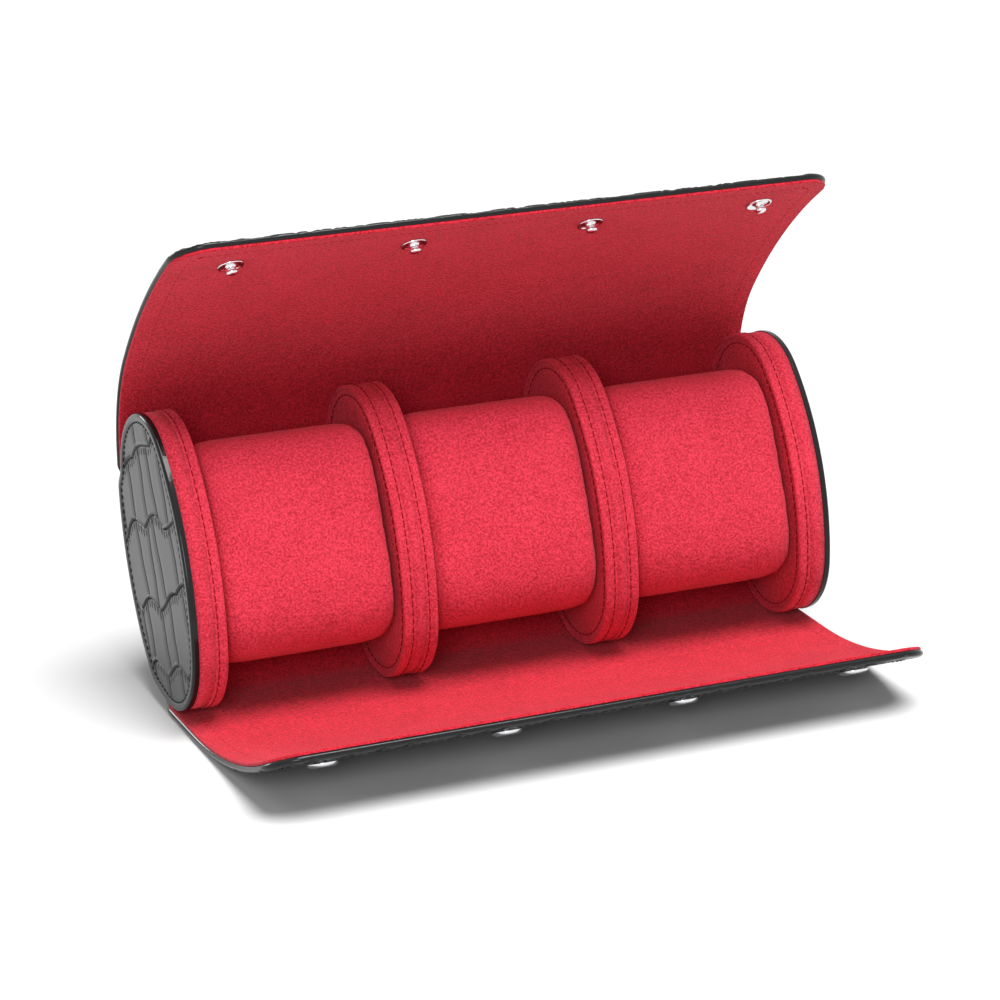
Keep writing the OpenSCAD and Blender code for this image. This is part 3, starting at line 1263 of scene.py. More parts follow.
@dataclass(frozen=True)
class Flap:
    """A flap of the sheet and its fold lines."""

    name: str
    root: float
    tip: float
    first_fold: float
    pitch: float
    folds: int

    @property
    def towards(self) -> int:
        """Sign of the direction along the sheet from the root to the tip."""
        return 1 if self.tip > self.root else -1

    def stretch(self, fold: int) -> Stretch:
        """Describes the stretch that spans a fold line.

        Args:
            fold: The fold line, counted from the flap's root.

        Returns:
            The stretch, which ends midway to the next fold line.
        """
        at = self.root + self.towards * (self.first_fold + (fold - 1) * self.pitch)
        reach = self.towards * (self.pitch / 2 if fold > 1 else self.first_fold)
        last = fold == self.folds
        part = f"{self.name}_panel" if last else f"{self.name}_strip_{fold}"
        start, end = sorted((at - reach, self.tip if last else at + self.towards * self.pitch / 2))
        return Stretch(
            f"{self.name}_{fold}",
            start,
            end,
            (f"{self.name}_{fold - 1}" if fold > 1 else "case", f"{self.name}_{fold}"),
            (f"{part}_leather",) + ((f"{part}_board",) if last else ()),
            (f"{part}_lining",),
            (at - reach, at + reach),
        )


@dataclass(frozen=True)
class Layer:
    """One visible layer of the sheet."""

    side: Side
    inner: float
    outer: float
    setback: float
    edge: float
    step: float
    groove: float
    finish: Finish
    holes: tuple[tuple[float, float], ...] = ()
    hole_radius: float = 3.05 * MM


@dataclass
class WrappedSheet:
    """Leather, lining and stitches of the sheet, in stretches divided midway between the folds."""

    EDGE_ROWS = np.array([0.0, 0.08, 0.3, 0.62, 1.0, 1.7, 2.6])
    EDGE_GAP = 0.6 * MM
    EDGE_CLEARANCE = 1.2
    CLOSED_BELOW = 1e-7
    PAINT_FADE = 0.9
    SEAM_POINTS = {"lid": 90, "front": 80, "corner": 14, "tip": 160}
    SEARCH_POINTS = 3000
    AREA_ROWS = 400

    course: SheetCourse
    sheet: SheetSize
    case: CaseSize
    stitcher: Stitcher
    snaps: SnapSize = SnapSize()
    look: SheetFinish = SheetFinish()
    emboss: ScaleEmboss = field(
        default_factory=partial(ScaleEmboss, seed=5, row=24 * MM, width=10.5 * MM, line=0.65 * MM)
    )

    def flaps(self) -> tuple[Flap, Flap]:
        """Describes both flaps.

        Returns:
            The lid and the front flap.
        """
        s, course = self.sheet, self.course
        return (
            Flap("lid", s.lid_length, 0.0, s.lid_first_fold, s.lid_fold_pitch, s.lid_folds),
            Flap(
                "front", course.bottom, course.length, s.front_first_fold, s.front_fold_pitch,
                s.front_folds,
            ),
        )

    def stretches(self) -> list[Stretch]:
        """Divides the sheet midway between its fold lines.

        Returns:
            The stretches from the lid's free edge to the front flap's.
        """
        lid, front = self.flaps()
        nodes = ("spine_leather", "spine_board"), ("spine_lining",)
        wrap = Stretch("wrap", lid.root, front.root, ("case",), *nodes)
        upper = [lid.stretch(fold) for fold in range(lid.folds, 0, -1)]
        return upper + [wrap] + [front.stretch(fold + 1) for fold in range(front.folds)]

    def half_width(self, u: Places, setback: float) -> Points:
        """Half of the sheet's width, with round corners and the narrower sewn part.

        Args:
            u: Distances from the lid's free edge.
            setback: How far the layer stays back from the edge.

        Returns:
            Half of the width at each distance.
        """
        r = self.sheet.corner_radius - setback
        ends = np.minimum(u, self.course.length - u) - setback
        cut = r - np.sqrt(np.clip(r**2 - np.clip(r - ends, 0, r) ** 2, 0, None))
        tuck = smooth_step((u - self.sheet.lid_length) / self.look.tuck_top)
        below = self.course.bottom - self.look.tuck_end - u
        tuck = tuck * smooth_step(below / self.look.tuck_bottom)
        depth = self.case.panel_thickness - min(setback, self.look.tuck_setback)
        return self.case.half_length - setback - cut - tuck * depth

    def from_edge(self, x: Points, u: Points, setback: float) -> Points:
        """Distance to the layer's free edge, round its corners.

        Args:
            x: Places across the sheet.
            u: Distances from the lid's free edge.
            setback: How far the layer stays back from the sheet's edge.

        Returns:
            The distance inwards from the edge.
        """
        r = self.sheet.corner_radius - setback
        dx = self.half_width(self.course.length / 4, setback) - np.abs(x)
        side = self.half_width(u, setback) - np.abs(x)
        du = np.minimum(u, self.course.length - u) - setback
        corner = (dx < r) & (du < r)
        round_off = r - np.hypot(np.clip(r - dx, 0, None), np.clip(r - du, 0, None))
        return np.clip(np.where(corner, round_off, np.minimum(np.minimum(dx, side), du)), 0, None)

    def grid(self, stretch: Stretch, layer: Layer) -> tuple[Points, Points]:
        """Lays out one stretch's rows and columns.

        Args:
            stretch: The stretch.
            layer: The layer.

        Returns:
            Places across the sheet and along it, as two grids.
        """
        fine = layer.edge * self.EDGE_ROWS
        clear = fine[-1] * self.EDGE_CLEARANCE
        free_low, free_high = stretch.start <= 0, stretch.end >= self.course.length
        low = stretch.start + (layer.setback if free_low else 0)
        high = stretch.end - (layer.setback if free_high else 0)
        u = np.linspace(low, high, max(3, int((high - low) / layer.step)))
        if free_low:
            u = np.concatenate([low + fine, u[u > low + clear]])
        if free_high:
            u = np.concatenate([u[u < high - clear], high - fine[::-1]])
        across = np.linspace(-1, 1, int(2 * self.case.half_length / layer.step))
        w = self.half_width(u, layer.setback)[:, None]
        inner = (w - fine[-1] - self.EDGE_GAP) * across
        x = np.concatenate([fine - w, inner, w - fine[::-1]], axis=1)
        return x, np.repeat(u[:, None], x.shape[1], axis=1)

    def open_holes(self, x: Points, u: Points, layer: Layer) -> Points:
        """Opens the layer's holes, and moves the grid's points onto their rims.

        Args:
            x: Places across the sheet, changed in place.
            u: Distances from the lid's free edge, changed in place.
            layer: The layer.

        Returns:
            Which of the grid's cells stay.
        """
        kept = np.ones((x.shape[0] - 1, x.shape[1] - 1), bool)
        for place, at in layer.holes:
            r = np.hypot(x - place, u - at)
            inside = r < layer.hole_radius
            if not inside.any():
                continue
            cut = inside[:-1, :-1] | inside[:-1, 1:] | inside[1:, 1:] | inside[1:, :-1]
            kept &= ~cut
            rim = np.zeros(x.shape, bool)
            for rows in (slice(None, -1), slice(1, None)):
                for columns in (slice(None, -1), slice(1, None)):
                    rim[rows, columns] |= cut
            rim &= ~inside
            share = np.where(rim, layer.hole_radius / np.maximum(r, 1e-9), 1.0) - 1
            x += (x - place) * share
            u += (u - at) * share
        return kept

    def relief(self, x: Points, u: Points, layer: Layer) -> tuple[Points, Points]:
        """How deep the layer's visible face is pressed.

        Args:
            x: Places across the sheet.
            u: Distances from the lid's free edge.
            layer: The layer.

        Returns:
            Depth in metres, and the crease tone for painted shade, which is below 0 on a lip, where
            it paints a highlight.
        """
        look = self.look
        d = self.from_edge(x, u, layer.setback)
        seam = bell(d - look.seam_inset + layer.setback, look.seam_groove)
        free = smooth_step((self.sheet.lid_length - u) / look.seam_fade)
        free = free + smooth_step((u - self.course.bottom) / look.seam_fade)
        groove = layer.groove * seam * free
        if layer.side is Side.SUEDE:
            return groove, np.zeros(x.shape)
        deep = self.emboss.depth(x, u) * smooth_step(d / look.emboss_fade)
        # The unclipped depth is the tone for painted shade in creases and a painted highlight on
        # lips.
        return look.emboss_depth * np.maximum(deep, 0) + groove, deep

    @staticmethod
    def close_layer(quads: Points, other: Points) -> tuple[Faces, int]:
        """Closes a layer by its hidden face and a wall along every border.

        Args:
            quads: Corner numbers of the visible face.
            other: The hidden vertex opposite each visible one.

        Returns:
            All faces, and the number of the wall's first one.
        """
        n = len(other)
        tails, heads = quads.ravel(), np.roll(quads, -1, axis=1).ravel()
        rim = ~np.isin(tails * n + heads, heads * n + tails)
        tails, heads = tails[rim], heads[rim]
        wall = np.stack([heads, tails, other[tails], other[heads]], axis=-1).tolist()
        faces = quads.tolist() + other[quads][:, ::-1].tolist()
        corners = [list(dict.fromkeys(face)) for face in wall]
        return faces + [face for face in corners if len(face) > 2], len(faces)

    def layer_piece(self, stretch: Stretch, layer: Layer) -> bpy.types.Object:
        """Builds one layer of one stretch as a closed piece.

        Args:
            stretch: The stretch.
            layer: The layer.

        Returns:
            The new object.
        """
        x, u = self.grid(stretch, layer)
        kept = self.open_holes(x, u, layer)
        d = np.clip(self.from_edge(x, u, layer.setback) / layer.edge, 0, 1)
        lift = np.sqrt(1 - (1 - d) ** 2)
        press, shade = self.relief(x, u, layer)
        middle, half = (layer.inner + layer.outer) / 2, (layer.outer - layer.inner) / 2
        if layer.side is Side.LEATHER:
            seen, hidden = middle + half * lift - press, middle - half * lift
        else:
            seen = layer.inner + layer.edge * (1 - lift) + press
            hidden = np.full(x.shape, layer.outer)
        faces_yz = (self.course.at(u, offset) for offset in (seen, hidden))
        points = np.concatenate([with_x(x, yz).reshape(-1, 3) for yz in faces_yz])
        n = x.size
        number = np.arange(n).reshape(x.shape)
        closed = np.abs(seen - hidden) < self.CLOSED_BELOW
        other = np.where(closed, number, number + n).ravel()
        corners = [number[:-1, :-1], number[:-1, 1:], number[1:, 1:], number[1:, :-1]]
        quads = np.stack(corners, axis=-1)[kept]
        faces, flat_from = self.close_layer(quads, other)
        used = np.unique(np.concatenate([quads.ravel(), other[quads.ravel()]]))
        place = np.zeros(2 * n, int)
        place[used] = np.arange(len(used))
        place = place.tolist()
        tones = None
        if layer.side is Side.LEATHER:
            painted = np.tile((bell(d, 1 / self.PAINT_FADE) * (d < 1)).ravel(), 2)
            # The crease tone paints shade into the creases and a highlight onto the lips.
            crease = np.concatenate([shade.ravel(), np.zeros(n)])
            tones = {"crease": crease[used], "edge": painted[used]}
        obj = add_mesh(
            f"{stretch.name}_{layer.side.value}",
            points[used],
            [[place[c] for c in f] for f in faces],
            layer.finish,
            tones,
            flat_from,
        )
        return self.hold(obj, stretch)

    def hold(self, obj: bpy.types.Object, stretch: Stretch) -> bpy.types.Object:
        """Attaches a piece that rides on one body to that body; a piece across a fold line is only
        baked in place.

        Args:
            obj: The piece.
            stretch: Its stretch.

        Returns:
            The same piece.
        """
        if not stretch.bend:
            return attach(obj, *stretch.bodies)
        start, end = with_x(0.0, self.course.at(stretch.bend, 0.0)).tolist()
        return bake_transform(obj)

    def seam_line(self, flap: Flap, offset: float, lift: float) -> tuple[Points, Points]:
        """The stitch line along a flap's free edges.

        Args:
            flap: The flap.
            offset: The face's distance from the lining's surface.
            lift: Sign of the direction away from that face.

        Returns:
            Points and normals.
        """
        look, count = self.look, self.SEAM_POINTS
        r = self.sheet.corner_radius - look.seam_inset
        w = self.case.half_length - look.seam_inset
        turn = np.linspace(0, math.pi / 2, count["corner"])
        far = flap.tip - flap.towards * look.seam_inset
        start = flap.root + flap.towards * look.seam_start
        side = np.linspace(start, far - flap.towards * r, count[flap.name])
        half_u = np.concatenate([side, far - flap.towards * r * (1 - np.sin(turn))])
        half_x = np.concatenate([np.full(side.shape, -w), -w + r * (1 - np.cos(turn))])
        top = np.linspace(-w + r, w - r, count["tip"])[1:-1]
        x = np.concatenate([half_x, top, -half_x[::-1]])
        u = np.concatenate([half_u, np.full(top.shape, far), half_u[::-1]])
        return with_x(x, self.course.at(u, offset)), with_x(0.0, lift * self.course.outward(u))

    def on_stretch(self, stretch: Stretch, middles: Points) -> Points:
        """Tells which places on the sheet belong to a stretch.

        Args:
            stretch: The stretch.
            middles: The places.

        Returns:
            Whether each of them does.
        """
        u = np.linspace(0, self.course.length, self.SEARCH_POINTS)
        gap = np.linalg.norm(middles[:, None, 1:] - self.course.at(u, 0.0), axis=-1)
        at = u[np.argmin(gap, axis=1)]
        return (at >= stretch.start) & (at < stretch.end)

    def sew(self, stretch: Stretch) -> None:
        """Sews the stitches that lie on one stretch, on both of its faces.

        Args:
            stretch: The stretch.
        """
        outer = self.sheet.thickness - self.look.thread_sunk
        faces = (
            (Side.SUEDE, self.look.thread_proud, -1.0, LINING_THREAD),
            (Side.LEATHER, outer, 1.0, BLACK_THREAD),
        )
        for flap in self.flaps():
            if not stretch.name.startswith(flap.name):
                continue
            for side, offset, lift, thread in faces:
                name = f"{stretch.name}_{side.value}_stitches"
                line = self.seam_line(flap, offset, lift)
                keep = partial(self.on_stretch, stretch)
                obj = self.stitcher.sew(name, *line, thread, side.value, keep)
                if obj is not None:
                    self.hold(obj, stretch)

    def build(self) -> None:
        """Builds both layers of every stretch, and its stitches."""
        s = self.sheet
        holes = tuple((x, self.course.length - self.snaps.socket_edge) for x in self.snaps.places())
        leather = Layer(
            Side.LEATHER, s.lining, s.thickness, setback=0.0, edge=1.15 * MM, step=0.9 * MM,
            groove=0.12 * MM, finish=CROC, holes=holes,
        )
        lining = Layer(
            Side.SUEDE, 0.0, s.lining + self.look.overlap, setback=s.lining_setback, edge=0.35 * MM,
            step=3 * MM, groove=0.22 * MM, finish=LINING,
        )
        for stretch in self.stretches():
            outer = self.layer_piece(stretch, leather)
            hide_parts(*stretch.nodes)
            inner = self.layer_piece(stretch, lining)
            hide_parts(*stretch.lining_nodes)
            self.declare(stretch)
            self.sew(stretch)

    def declare(
        self, stretch: Stretch
    ) -> None:
        """Works out the lining's half-width along one stretch, and keeps nothing; the lining is
        glued to the leather.

        Args:
            stretch: Its stretch.
        """
        back = self.sheet.lining_setback
        low = max(stretch.start, back)
        high = min(stretch.end, self.course.length - back)
        rows = np.linspace(low, high, self.AREA_ROWS)
        half = self.half_width(rows, back)


# ---- Discs ----


@dataclass
class Discs:
    """End discs and dividers: panels, rims, bindings, faces and their stitches."""

    AROUND = 300
    FACE_SEAM_POINTS = 600
    RIM_SEAM_POINTS = 720
    BEND_STEPS = 5
    # Profile of a binding in millimetres: depth along X and inset of each point.
    FOLDED = ((0.0, 0.34), (-0.12, 0.12), (-0.35, 0.02))
    GROOVE = ((0.42, 0.0), (0.2, 0.12), (0.0, 0.3), (-0.2, 0.12), (-0.42, 0.0))
    UNDER = ((0.02, -0.2), (0.35, 0.0), (1.4, 0.2))
    RIM_SEAM_INSET = 0.16 * MM
    RIM_OVERLAP = 0.3 * MM
    SEEDS = {End.LEFT: 23, End.RIGHT: 31}
    OUTLINE_POINTS = {"sheet": 900, "back": 2000, "front": 1400}

    oval: Oval
    course: SheetCourse
    case: CaseSize
    sheet: SheetSize
    stitcher: Stitcher
    face_size: FaceSize = FaceSize()
    panel_size: PanelSize = PanelSize()
    panel_stitches: StitchSize = StitchSize(1.7 * MM, 0.7 * MM, 0.26 * MM)
    seam: float = 3.1 * MM
    edge_radius: float = 0.75 * MM

    def sweep(self, name: str, profile: Pairs) -> bpy.types.Object:
        """Sweeps a closed suede profile round the oval.

        Args:
            name: The piece's name.
            profile: X and inset of each of the profile's points.

        Returns:
            The new object.
        """
        phi = self.oval.angles(self.AROUND)
        points = np.concatenate([with_x(x, self.oval.at(phi, inset)) for x, inset in profile])
        faces = ring_faces(len(profile) + 1, len(phi)) % len(points)
        return add_mesh(name, points, faces.tolist(), SUEDE)

    def rim(self, name: str, start: float, end: float) -> bpy.types.Object:
        """Builds the suede round a disc, between its bindings.

        Args:
            name: The piece's name.
            start: Where it starts along X.
            end: Where it ends.

        Returns:
            The new object.
        """
        h, t = self.case.binding_height, self.case.suede
        return self.sweep(name, [(start, t), (start, h), (end, h), (end, t)])

    def face(self, name: str, x: float, side: int) -> bpy.types.Object:
        """Builds a padded suede face and its stitches.

        Args:
            name: The piece's name.
            x: Place of the disc's edge along X.
            side: Direction along X in which the face looks.

        Returns:
            The face.
        """
        size = self.face_size
        phi = self.oval.angles(self.AROUND)
        steps = size.steps()
        insets = self.case.suede - size.setback + steps
        deep = self.case.face_recess * (1 - size.dome * smooth_step(steps / size.dome_reach))
        deep += size.groove * bell(insets - size.seam, size.groove_width)
        rings = [with_x(x - side * d, self.oval.at(phi, inset)) for d, inset in zip(deep, insets)]
        rings.insert(0, rings[0] - np.array([side * size.thickness, 0, 0]))
        faces = closed_rings(len(rings), len(phi))
        flat = len(faces) - 1
        obj = add_mesh(name, np.concatenate(rings), faces, SUEDE, flat_from=flat)
        at = x - side * (self.case.face_recess + size.thread_sunk)
        line = with_x(at, self.oval.at(self.oval.angles(self.FACE_SEAM_POINTS), size.seam))
        self.sew_flat(f"{name}_stitches", line, side, self.stitcher, RED_THREAD, "suede")
        return obj

    @staticmethod
    def sew_flat(
        name: str, line: Points, side: int, stitcher: Stitcher, thread: Finish, slot: str
    ) -> None:
        """Sews a ring of stitches on a face that looks along X.

        Args:
            name: The piece's name.
            line: Points of the ring.
            side: Direction along X in which the face looks.
            stitcher: What sews it.
            thread: The thread's finish.
            slot: Name of a material slot, handed on to the stitcher.
        """
        line = closed_path(line)
        normals = np.tile([float(side), 0.0, 0.0], (len(line), 1))
        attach(stitcher.sew(name, line, normals, thread, slot), "case")

    def binding(self, name: str, x: float, side: int) -> bpy.types.Object:
        """Builds the folded suede strip at a disc's edge.

        Args:
            name: The piece's name.
            x: Place of the disc's edge along X.
            side: Direction along X in which the edge looks.

        Returns:
            The new object.
        """
        w, t, r = self.case.binding_width, self.case.suede, self.edge_radius
        folded = [(w, t)] + around_point(w, 0.0, self.FOLDED)
        stitched = around_point(self.seam, 0.0, self.GROOVE)
        turns = np.linspace(0, math.pi / 2, self.BEND_STEPS)
        bend = [(r - r * math.sin(k), r - r * math.cos(k)) for k in turns]
        under = around_point(0.0, t, self.UNDER)
        profile = folded + stitched + bend + under
        return self.sweep(name, [(x - side * d, inset) for d, inset in profile])

    def stitches(self, name: str, x: float) -> bpy.types.Object:
        """Sews a ring of stitches on a rim.

        Args:
            name: The piece's name.
            x: Place of the ring along X.

        Returns:
            The new object.
        """
        phi = self.oval.angles(self.RIM_SEAM_POINTS)
        line = with_x(x, self.oval.at(phi, self.RIM_SEAM_INSET))
        normals = with_x(0.0, self.oval.at(phi, -1.0) - self.oval.at(phi, 0.0))
        line, normals = closed_path(line), closed_path(normals)
        return self.stitcher.sew(name, line, normals, RED_THREAD, "suede")

    def panel_outline(self) -> tuple[Points, Points]:
        """Outline of an end's leather panel, with the lip over the sheet's edge.

        Returns:
            Rows of Y and Z, and the outward normals.
        """
        q, size, count = self.oval.size, self.panel_size, self.OUTLINE_POINTS
        run = np.linspace(0, self.course.sewn, count["sheet"])
        left = self.course.sewn - size.cover_stop - run
        cover = smooth_step(run / size.cover_start) * smooth_step(left / size.cover_end)
        back = self.course.at(self.sheet.lid_length + run + 1e-9, self.sheet.thickness)
        low = -math.pi / 2 + q.lean
        own = self.oval.at(np.linspace(q.join_angle, low, count["back"]), 0.0)
        near = np.argmin(((back[:, None, :] - own[None, :, :]) ** 2).sum(-1), axis=1)
        back = cover[:, None] * back + (1 - cover[:, None]) * own[near]
        phi = np.linspace(low, q.join_angle - 2 * math.pi, count["front"])
        path = closed_path(np.concatenate([back, self.oval.at(phi, 0.0)[1:-1]]))
        run = distances(path)
        even = sample(path, run, np.linspace(0, run[-1], size.around, endpoint=False))
        for _ in range(size.smoothing):
            even = (np.roll(even, 1, 0) + 4 * even + np.roll(even, -1, 0)) / 6
        even[:, 1] = np.maximum(even[:, 1], 0.0)
        along = np.roll(even, -1, 0) - np.roll(even, 1, 0)
        along /= np.linalg.norm(along, axis=1, keepdims=True)
        out = np.stack([-along[:, 1], along[:, 0]], axis=-1)
        return even, out * np.sign(((even - even.mean(0)) * out).sum(1).mean())

    def panel_press(self, d: float) -> tuple[float, float, float]:
        """How an end's panel is formed at a distance from its edge.

        Args:
            d: The distance.

        Returns:
            Depth of the surface, share of the pressed pattern and share of the edge's paint.
        """
        size = self.panel_size
        if d < size.edge:
            deep = size.edge - math.sqrt(max(0.0, size.edge**2 - (size.edge - d) ** 2))
        else:
            deep = size.recess * smooth_step((d - size.recess_start) / size.recess_width)
            deep += size.groove * bell(d - size.seam, size.groove_width)
        emboss = smooth_step((d - size.seam - size.emboss_start) / size.emboss_fade)
        return deep, emboss, 1 - smooth_step((d - size.edge) / size.paint_fade)

    def end_panel(self, end: End) -> bpy.types.Object:
        """Builds an end's embossed leather panel and its stitches.

        Args:
            end: Which end.

        Returns:
            The panel.
        """
        size = self.panel_size
        name = f"{end.name.lower()}_end_panel"
        outline, out = self.panel_outline()
        pattern = ScaleEmboss(self.SEEDS[end], size.row, size.scale, size.line, size.shift)
        near = size.steps()
        inner = outline - out * near[-1] - self.oval.middle
        flats = [(d, outline - out * d) for d in near]
        for share in np.linspace(1, size.inner_end, size.inner_rings)[1:]:
            flats.append((near[-1] + size.paint_fade, self.oval.middle + inner * share))
        half, n = self.case.half_length, len(outline)
        rings, crease, edge = [], [], []
        for d, yz in flats:
            deep, emboss, paint = self.panel_press(d)
            pressed = pattern.depth(*self.oval.to_oval(yz)) * emboss
            rings.append(with_x(-half + deep + size.emboss_depth * pressed, yz))
            crease.append(pressed)
            edge.append(np.full(n, paint))
        depths = (self.case.panel_thickness, self.case.panel_thickness - size.wall)
        wall = [with_x(-half + depth, outline) for depth in depths]
        points = np.concatenate(wall + rings)
        points[:, 0] *= -end.value
        faces = closed_rings(len(wall + rings), n)
        # The crease tone paints shade into the panel's creases and a highlight onto its lips.
        tones = {
            "crease": np.concatenate([np.zeros(2 * n), *crease]),
            "edge": np.concatenate([np.ones(2 * n), *edge]),
        }
        obj = add_mesh(name, points, faces, CROC, tones, flat_from=len(faces) - 1)
        line = with_x(end.value * (half - size.thread_sunk), outline - out * size.seam)
        thread = Stitcher(self.panel_stitches)
        self.sew_flat(f"{name}_stitches", line, end.value, thread, BLACK_THREAD, "leather")
        return obj

    def open_side(
        self, label: str, seam_name: str, nodes: tuple[str, str], x: float, side: int
    ) -> None:
        """Builds the binding, the face and the stitches on one side of a disc.

        Args:
            label: First words of the pieces' names.
            seam_name: Name of the rim's stitches.
            nodes: The CAD's binding and face, which the pieces stand for.
            x: Place of the disc's edge along X.
            side: Direction along X in which the side looks.
        """
        strip = self.binding(f"{label}_binding", x, side)
        face = self.face(f"{label}_face", x, side)
        sewn = self.stitches(seam_name, x - side * self.seam)
        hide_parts(nodes[0])
        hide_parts(nodes[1])
        for obj in (strip, face, sewn):
            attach(obj, "case")

    def build_end(self, end: End) -> None:
        """Builds one end disc.

        Args:
            end: Which end.
        """
        side = -end.value
        label = f"{end.name.lower()}_end"
        inner = end.value * (self.case.half_length - self.case.disc_thickness)
        outer = end.value * (self.case.half_length - self.case.panel_thickness)
        panel = self.end_panel(end)
        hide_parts(f"{label}_leather")
        start = inner - side * (self.case.binding_width - self.RIM_OVERLAP)
        rim = self.rim(f"{label}_suede_rim", outer, start)
        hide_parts(f"{label}_rim", f"{label}_foam", f"{label}_board")
        for obj in (panel, rim):
            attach(obj, "case")
        nodes = (f"{label}_binding", f"{label}_face")
        self.open_side(f"{label}_suede", f"{label}_stitches", nodes, inner, side)

    def build_divider(self, number: int) -> None:
        """Builds one divider.

        Args:
            number: The divider, counted from the left.
        """
        label = f"divider_{number}"
        x = (number - self.case.slots / 2) * self.case.pitch
        half = self.case.disc_thickness / 2
        w = half - self.case.binding_width + self.RIM_OVERLAP
        rim = self.rim(f"{label}_suede_rim", x - w, x + w)
        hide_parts(f"{label}_rim", f"{label}_core")
        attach(rim, "case")
        nodes = (f"{label}_bindings", f"{label}_faces")
        for end in End:
            word = f"{label}_{end.name.lower()}"
            self.open_side(word, f"{word}_stitches", nodes, x + end.value * half, end.value)

    def build(self) -> None:
        """Builds both ends and every divider."""
        for end in End:
            self.build_end(end)
        for number in range(1, self.case.slots):
            self.build_divider(number)


# ---- Cushions ----


@dataclass
class Cushions:
    """Stuffed suede cushions, filled by a cloth simulation."""

    AROUND = 96
    RINGS = 31

    oval: Oval
    case: CaseSize
    size: CushionSize
    filling: Filling = Filling()

    def shell(self, name: str, x: float) -> bpy.types.Object:
        """Builds a cushion's unfilled cover as a rounded block.

        Args:
            name: The piece's name.
            x: Place of its middle along X.

        Returns:
            The new object.
        """
        size, inset = self.size, self.size.start_inset
        hx = self.case.slot_width / 2 - size.clearance - size.end_inset * inset
        ha, hb = size.depth / 2 - size.side_inset * inset, size.height / 2 - inset
        turn = np.linspace(0, 2 * math.pi, self.AROUND, endpoint=False)
        circle = (np.cos(turn), np.sin(turn))
        ca, cb = (np.sign(v) * np.abs(v) ** (2 / size.exponent) for v in circle)
        rings = []
        for k in np.linspace(-1, 1, self.RINGS):
            tilt = (1 - abs(k) ** size.end_exponent) ** (1 / size.end_rounding)
            share = size.end_share + (1 - size.end_share) * tilt
            yz = self.oval.to_part(-size.forward + ca * ha * share, cb * hb * share)
            rings.append(with_x(x + k * hx, yz))
        faces = closed_rings(len(rings), len(turn))
        return add_mesh(name, np.concatenate(rings), faces, SUEDE)

    @staticmethod
    def places(mesh: bpy.types.Mesh) -> Points:
        """Reads a mesh's vertices.

        Args:
            mesh: The mesh.

        Returns:
            One row for each vertex.
        """
        return np.array([v.co for v in mesh.vertices], float)

    def puff(self, obj: bpy.types.Object) -> None:
        """Runs the cloth simulation and keeps its result.

        Args:
            obj: The cover.
        """
        filling = self.filling
        before = self.places(obj.data)
        cloth = obj.modifiers.new("filling", "CLOTH")
        settings = cloth.settings
        settings.use_pressure = True
        settings.uniform_pressure_force = filling.pressure
        settings.effector_weights.gravity = 0.0
        settings.mass = filling.mass
        settings.tension_stiffness = filling.stiffness
        settings.compression_stiffness = filling.stiffness
        settings.bending_stiffness = filling.bending
        cloth.point_cache.frame_start = 1
        cloth.point_cache.frame_end = filling.frames
        for number in range(1, filling.frames + 1):
            bpy.context.scene.frame_set(number)
        graph = bpy.context.evaluated_depsgraph_get()
        move = self.places(obj.evaluated_get(graph).data) - before
        far = np.linalg.norm(move, axis=1, keepdims=True)
        after = before + move * np.minimum(1.0, filling.largest_move / np.maximum(far, 1e-9))
        obj.modifiers.remove(cloth)
        obj.data.vertices.foreach_set("co", after.astype(np.float32).ravel())
        bpy.context.scene.frame_set(1)
        log.info("%s: filled, largest move %.1f mm", obj.name, far.max() / MM)

    def fill(self, obj: bpy.types.Object) -> None:
        """Fills a cover with air pressure until the cloth is tight.

        Args:
            obj: The cover.
        """
        bpy.context.view_layer.objects.active = obj
        remesh = obj.modifiers.new("even_cloth", "REMESH")
        remesh.mode = "VOXEL"
        remesh.voxel_size = self.filling.cloth_grid
        bpy.ops.object.modifier_apply(modifier=remesh.name)
        self.puff(obj)
        smooth = obj.modifiers.new("finer", "SUBSURF")
        smooth.levels = 1
        bpy.ops.object.modifier_apply(modifier=smooth.name)

    def fit(self, obj: bpy.types.Object, x: float) -> None:
        """Brings a filled cover to the cushion's size and presses in its end seams.

        Args:
            obj: The filled cover.
            x: Place of its middle along X.
        """
        size, mesh = self.size, obj.data
        co = self.places(mesh)
        values = np.stack([co[:, 0], *self.oval.to_oval(co[:, 1:])])
        low, high = values.min(axis=1, keepdims=True), values.max(axis=1, keepdims=True)
        long = self.case.slot_width - 2 * size.clearance
        half = np.array([long, size.depth, size.height]) / 2
        dx, a, b = (values - (high + low) / 2) * half[:, None] / ((high - low) / 2)
        line = bell(np.abs(dx) - half[0] + size.seam_inset, size.seam_width)
        pull = 1 - size.seam_pull * line / np.maximum(np.hypot(a, b), 1 * MM)
        co = with_x(dx + x, self.oval.to_part(a * pull - size.forward, b * pull))
        mesh.vertices.foreach_set("co", co.astype(np.float32).ravel())
        mesh.polygons.foreach_set("use_smooth", np.ones(len(mesh.polygons), bool))
        mesh.update()

    def build(self) -> None:
        """Builds every cushion."""
        for number in range(1, self.case.slots + 1):
            x = (number - (self.case.slots + 1) / 2) * self.case.pitch
            obj = self.shell(f"cushion_{number}", x)
            self.fill(obj)
            self.fit(obj, x)
            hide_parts(f"cushion_{number}_cover", f"cushion_{number}_foam")
            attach(obj, f"cushion_{number}")
            log.info("%s: %d vertices", obj.name, len(obj.data.vertices))


# ---- Press studs ----


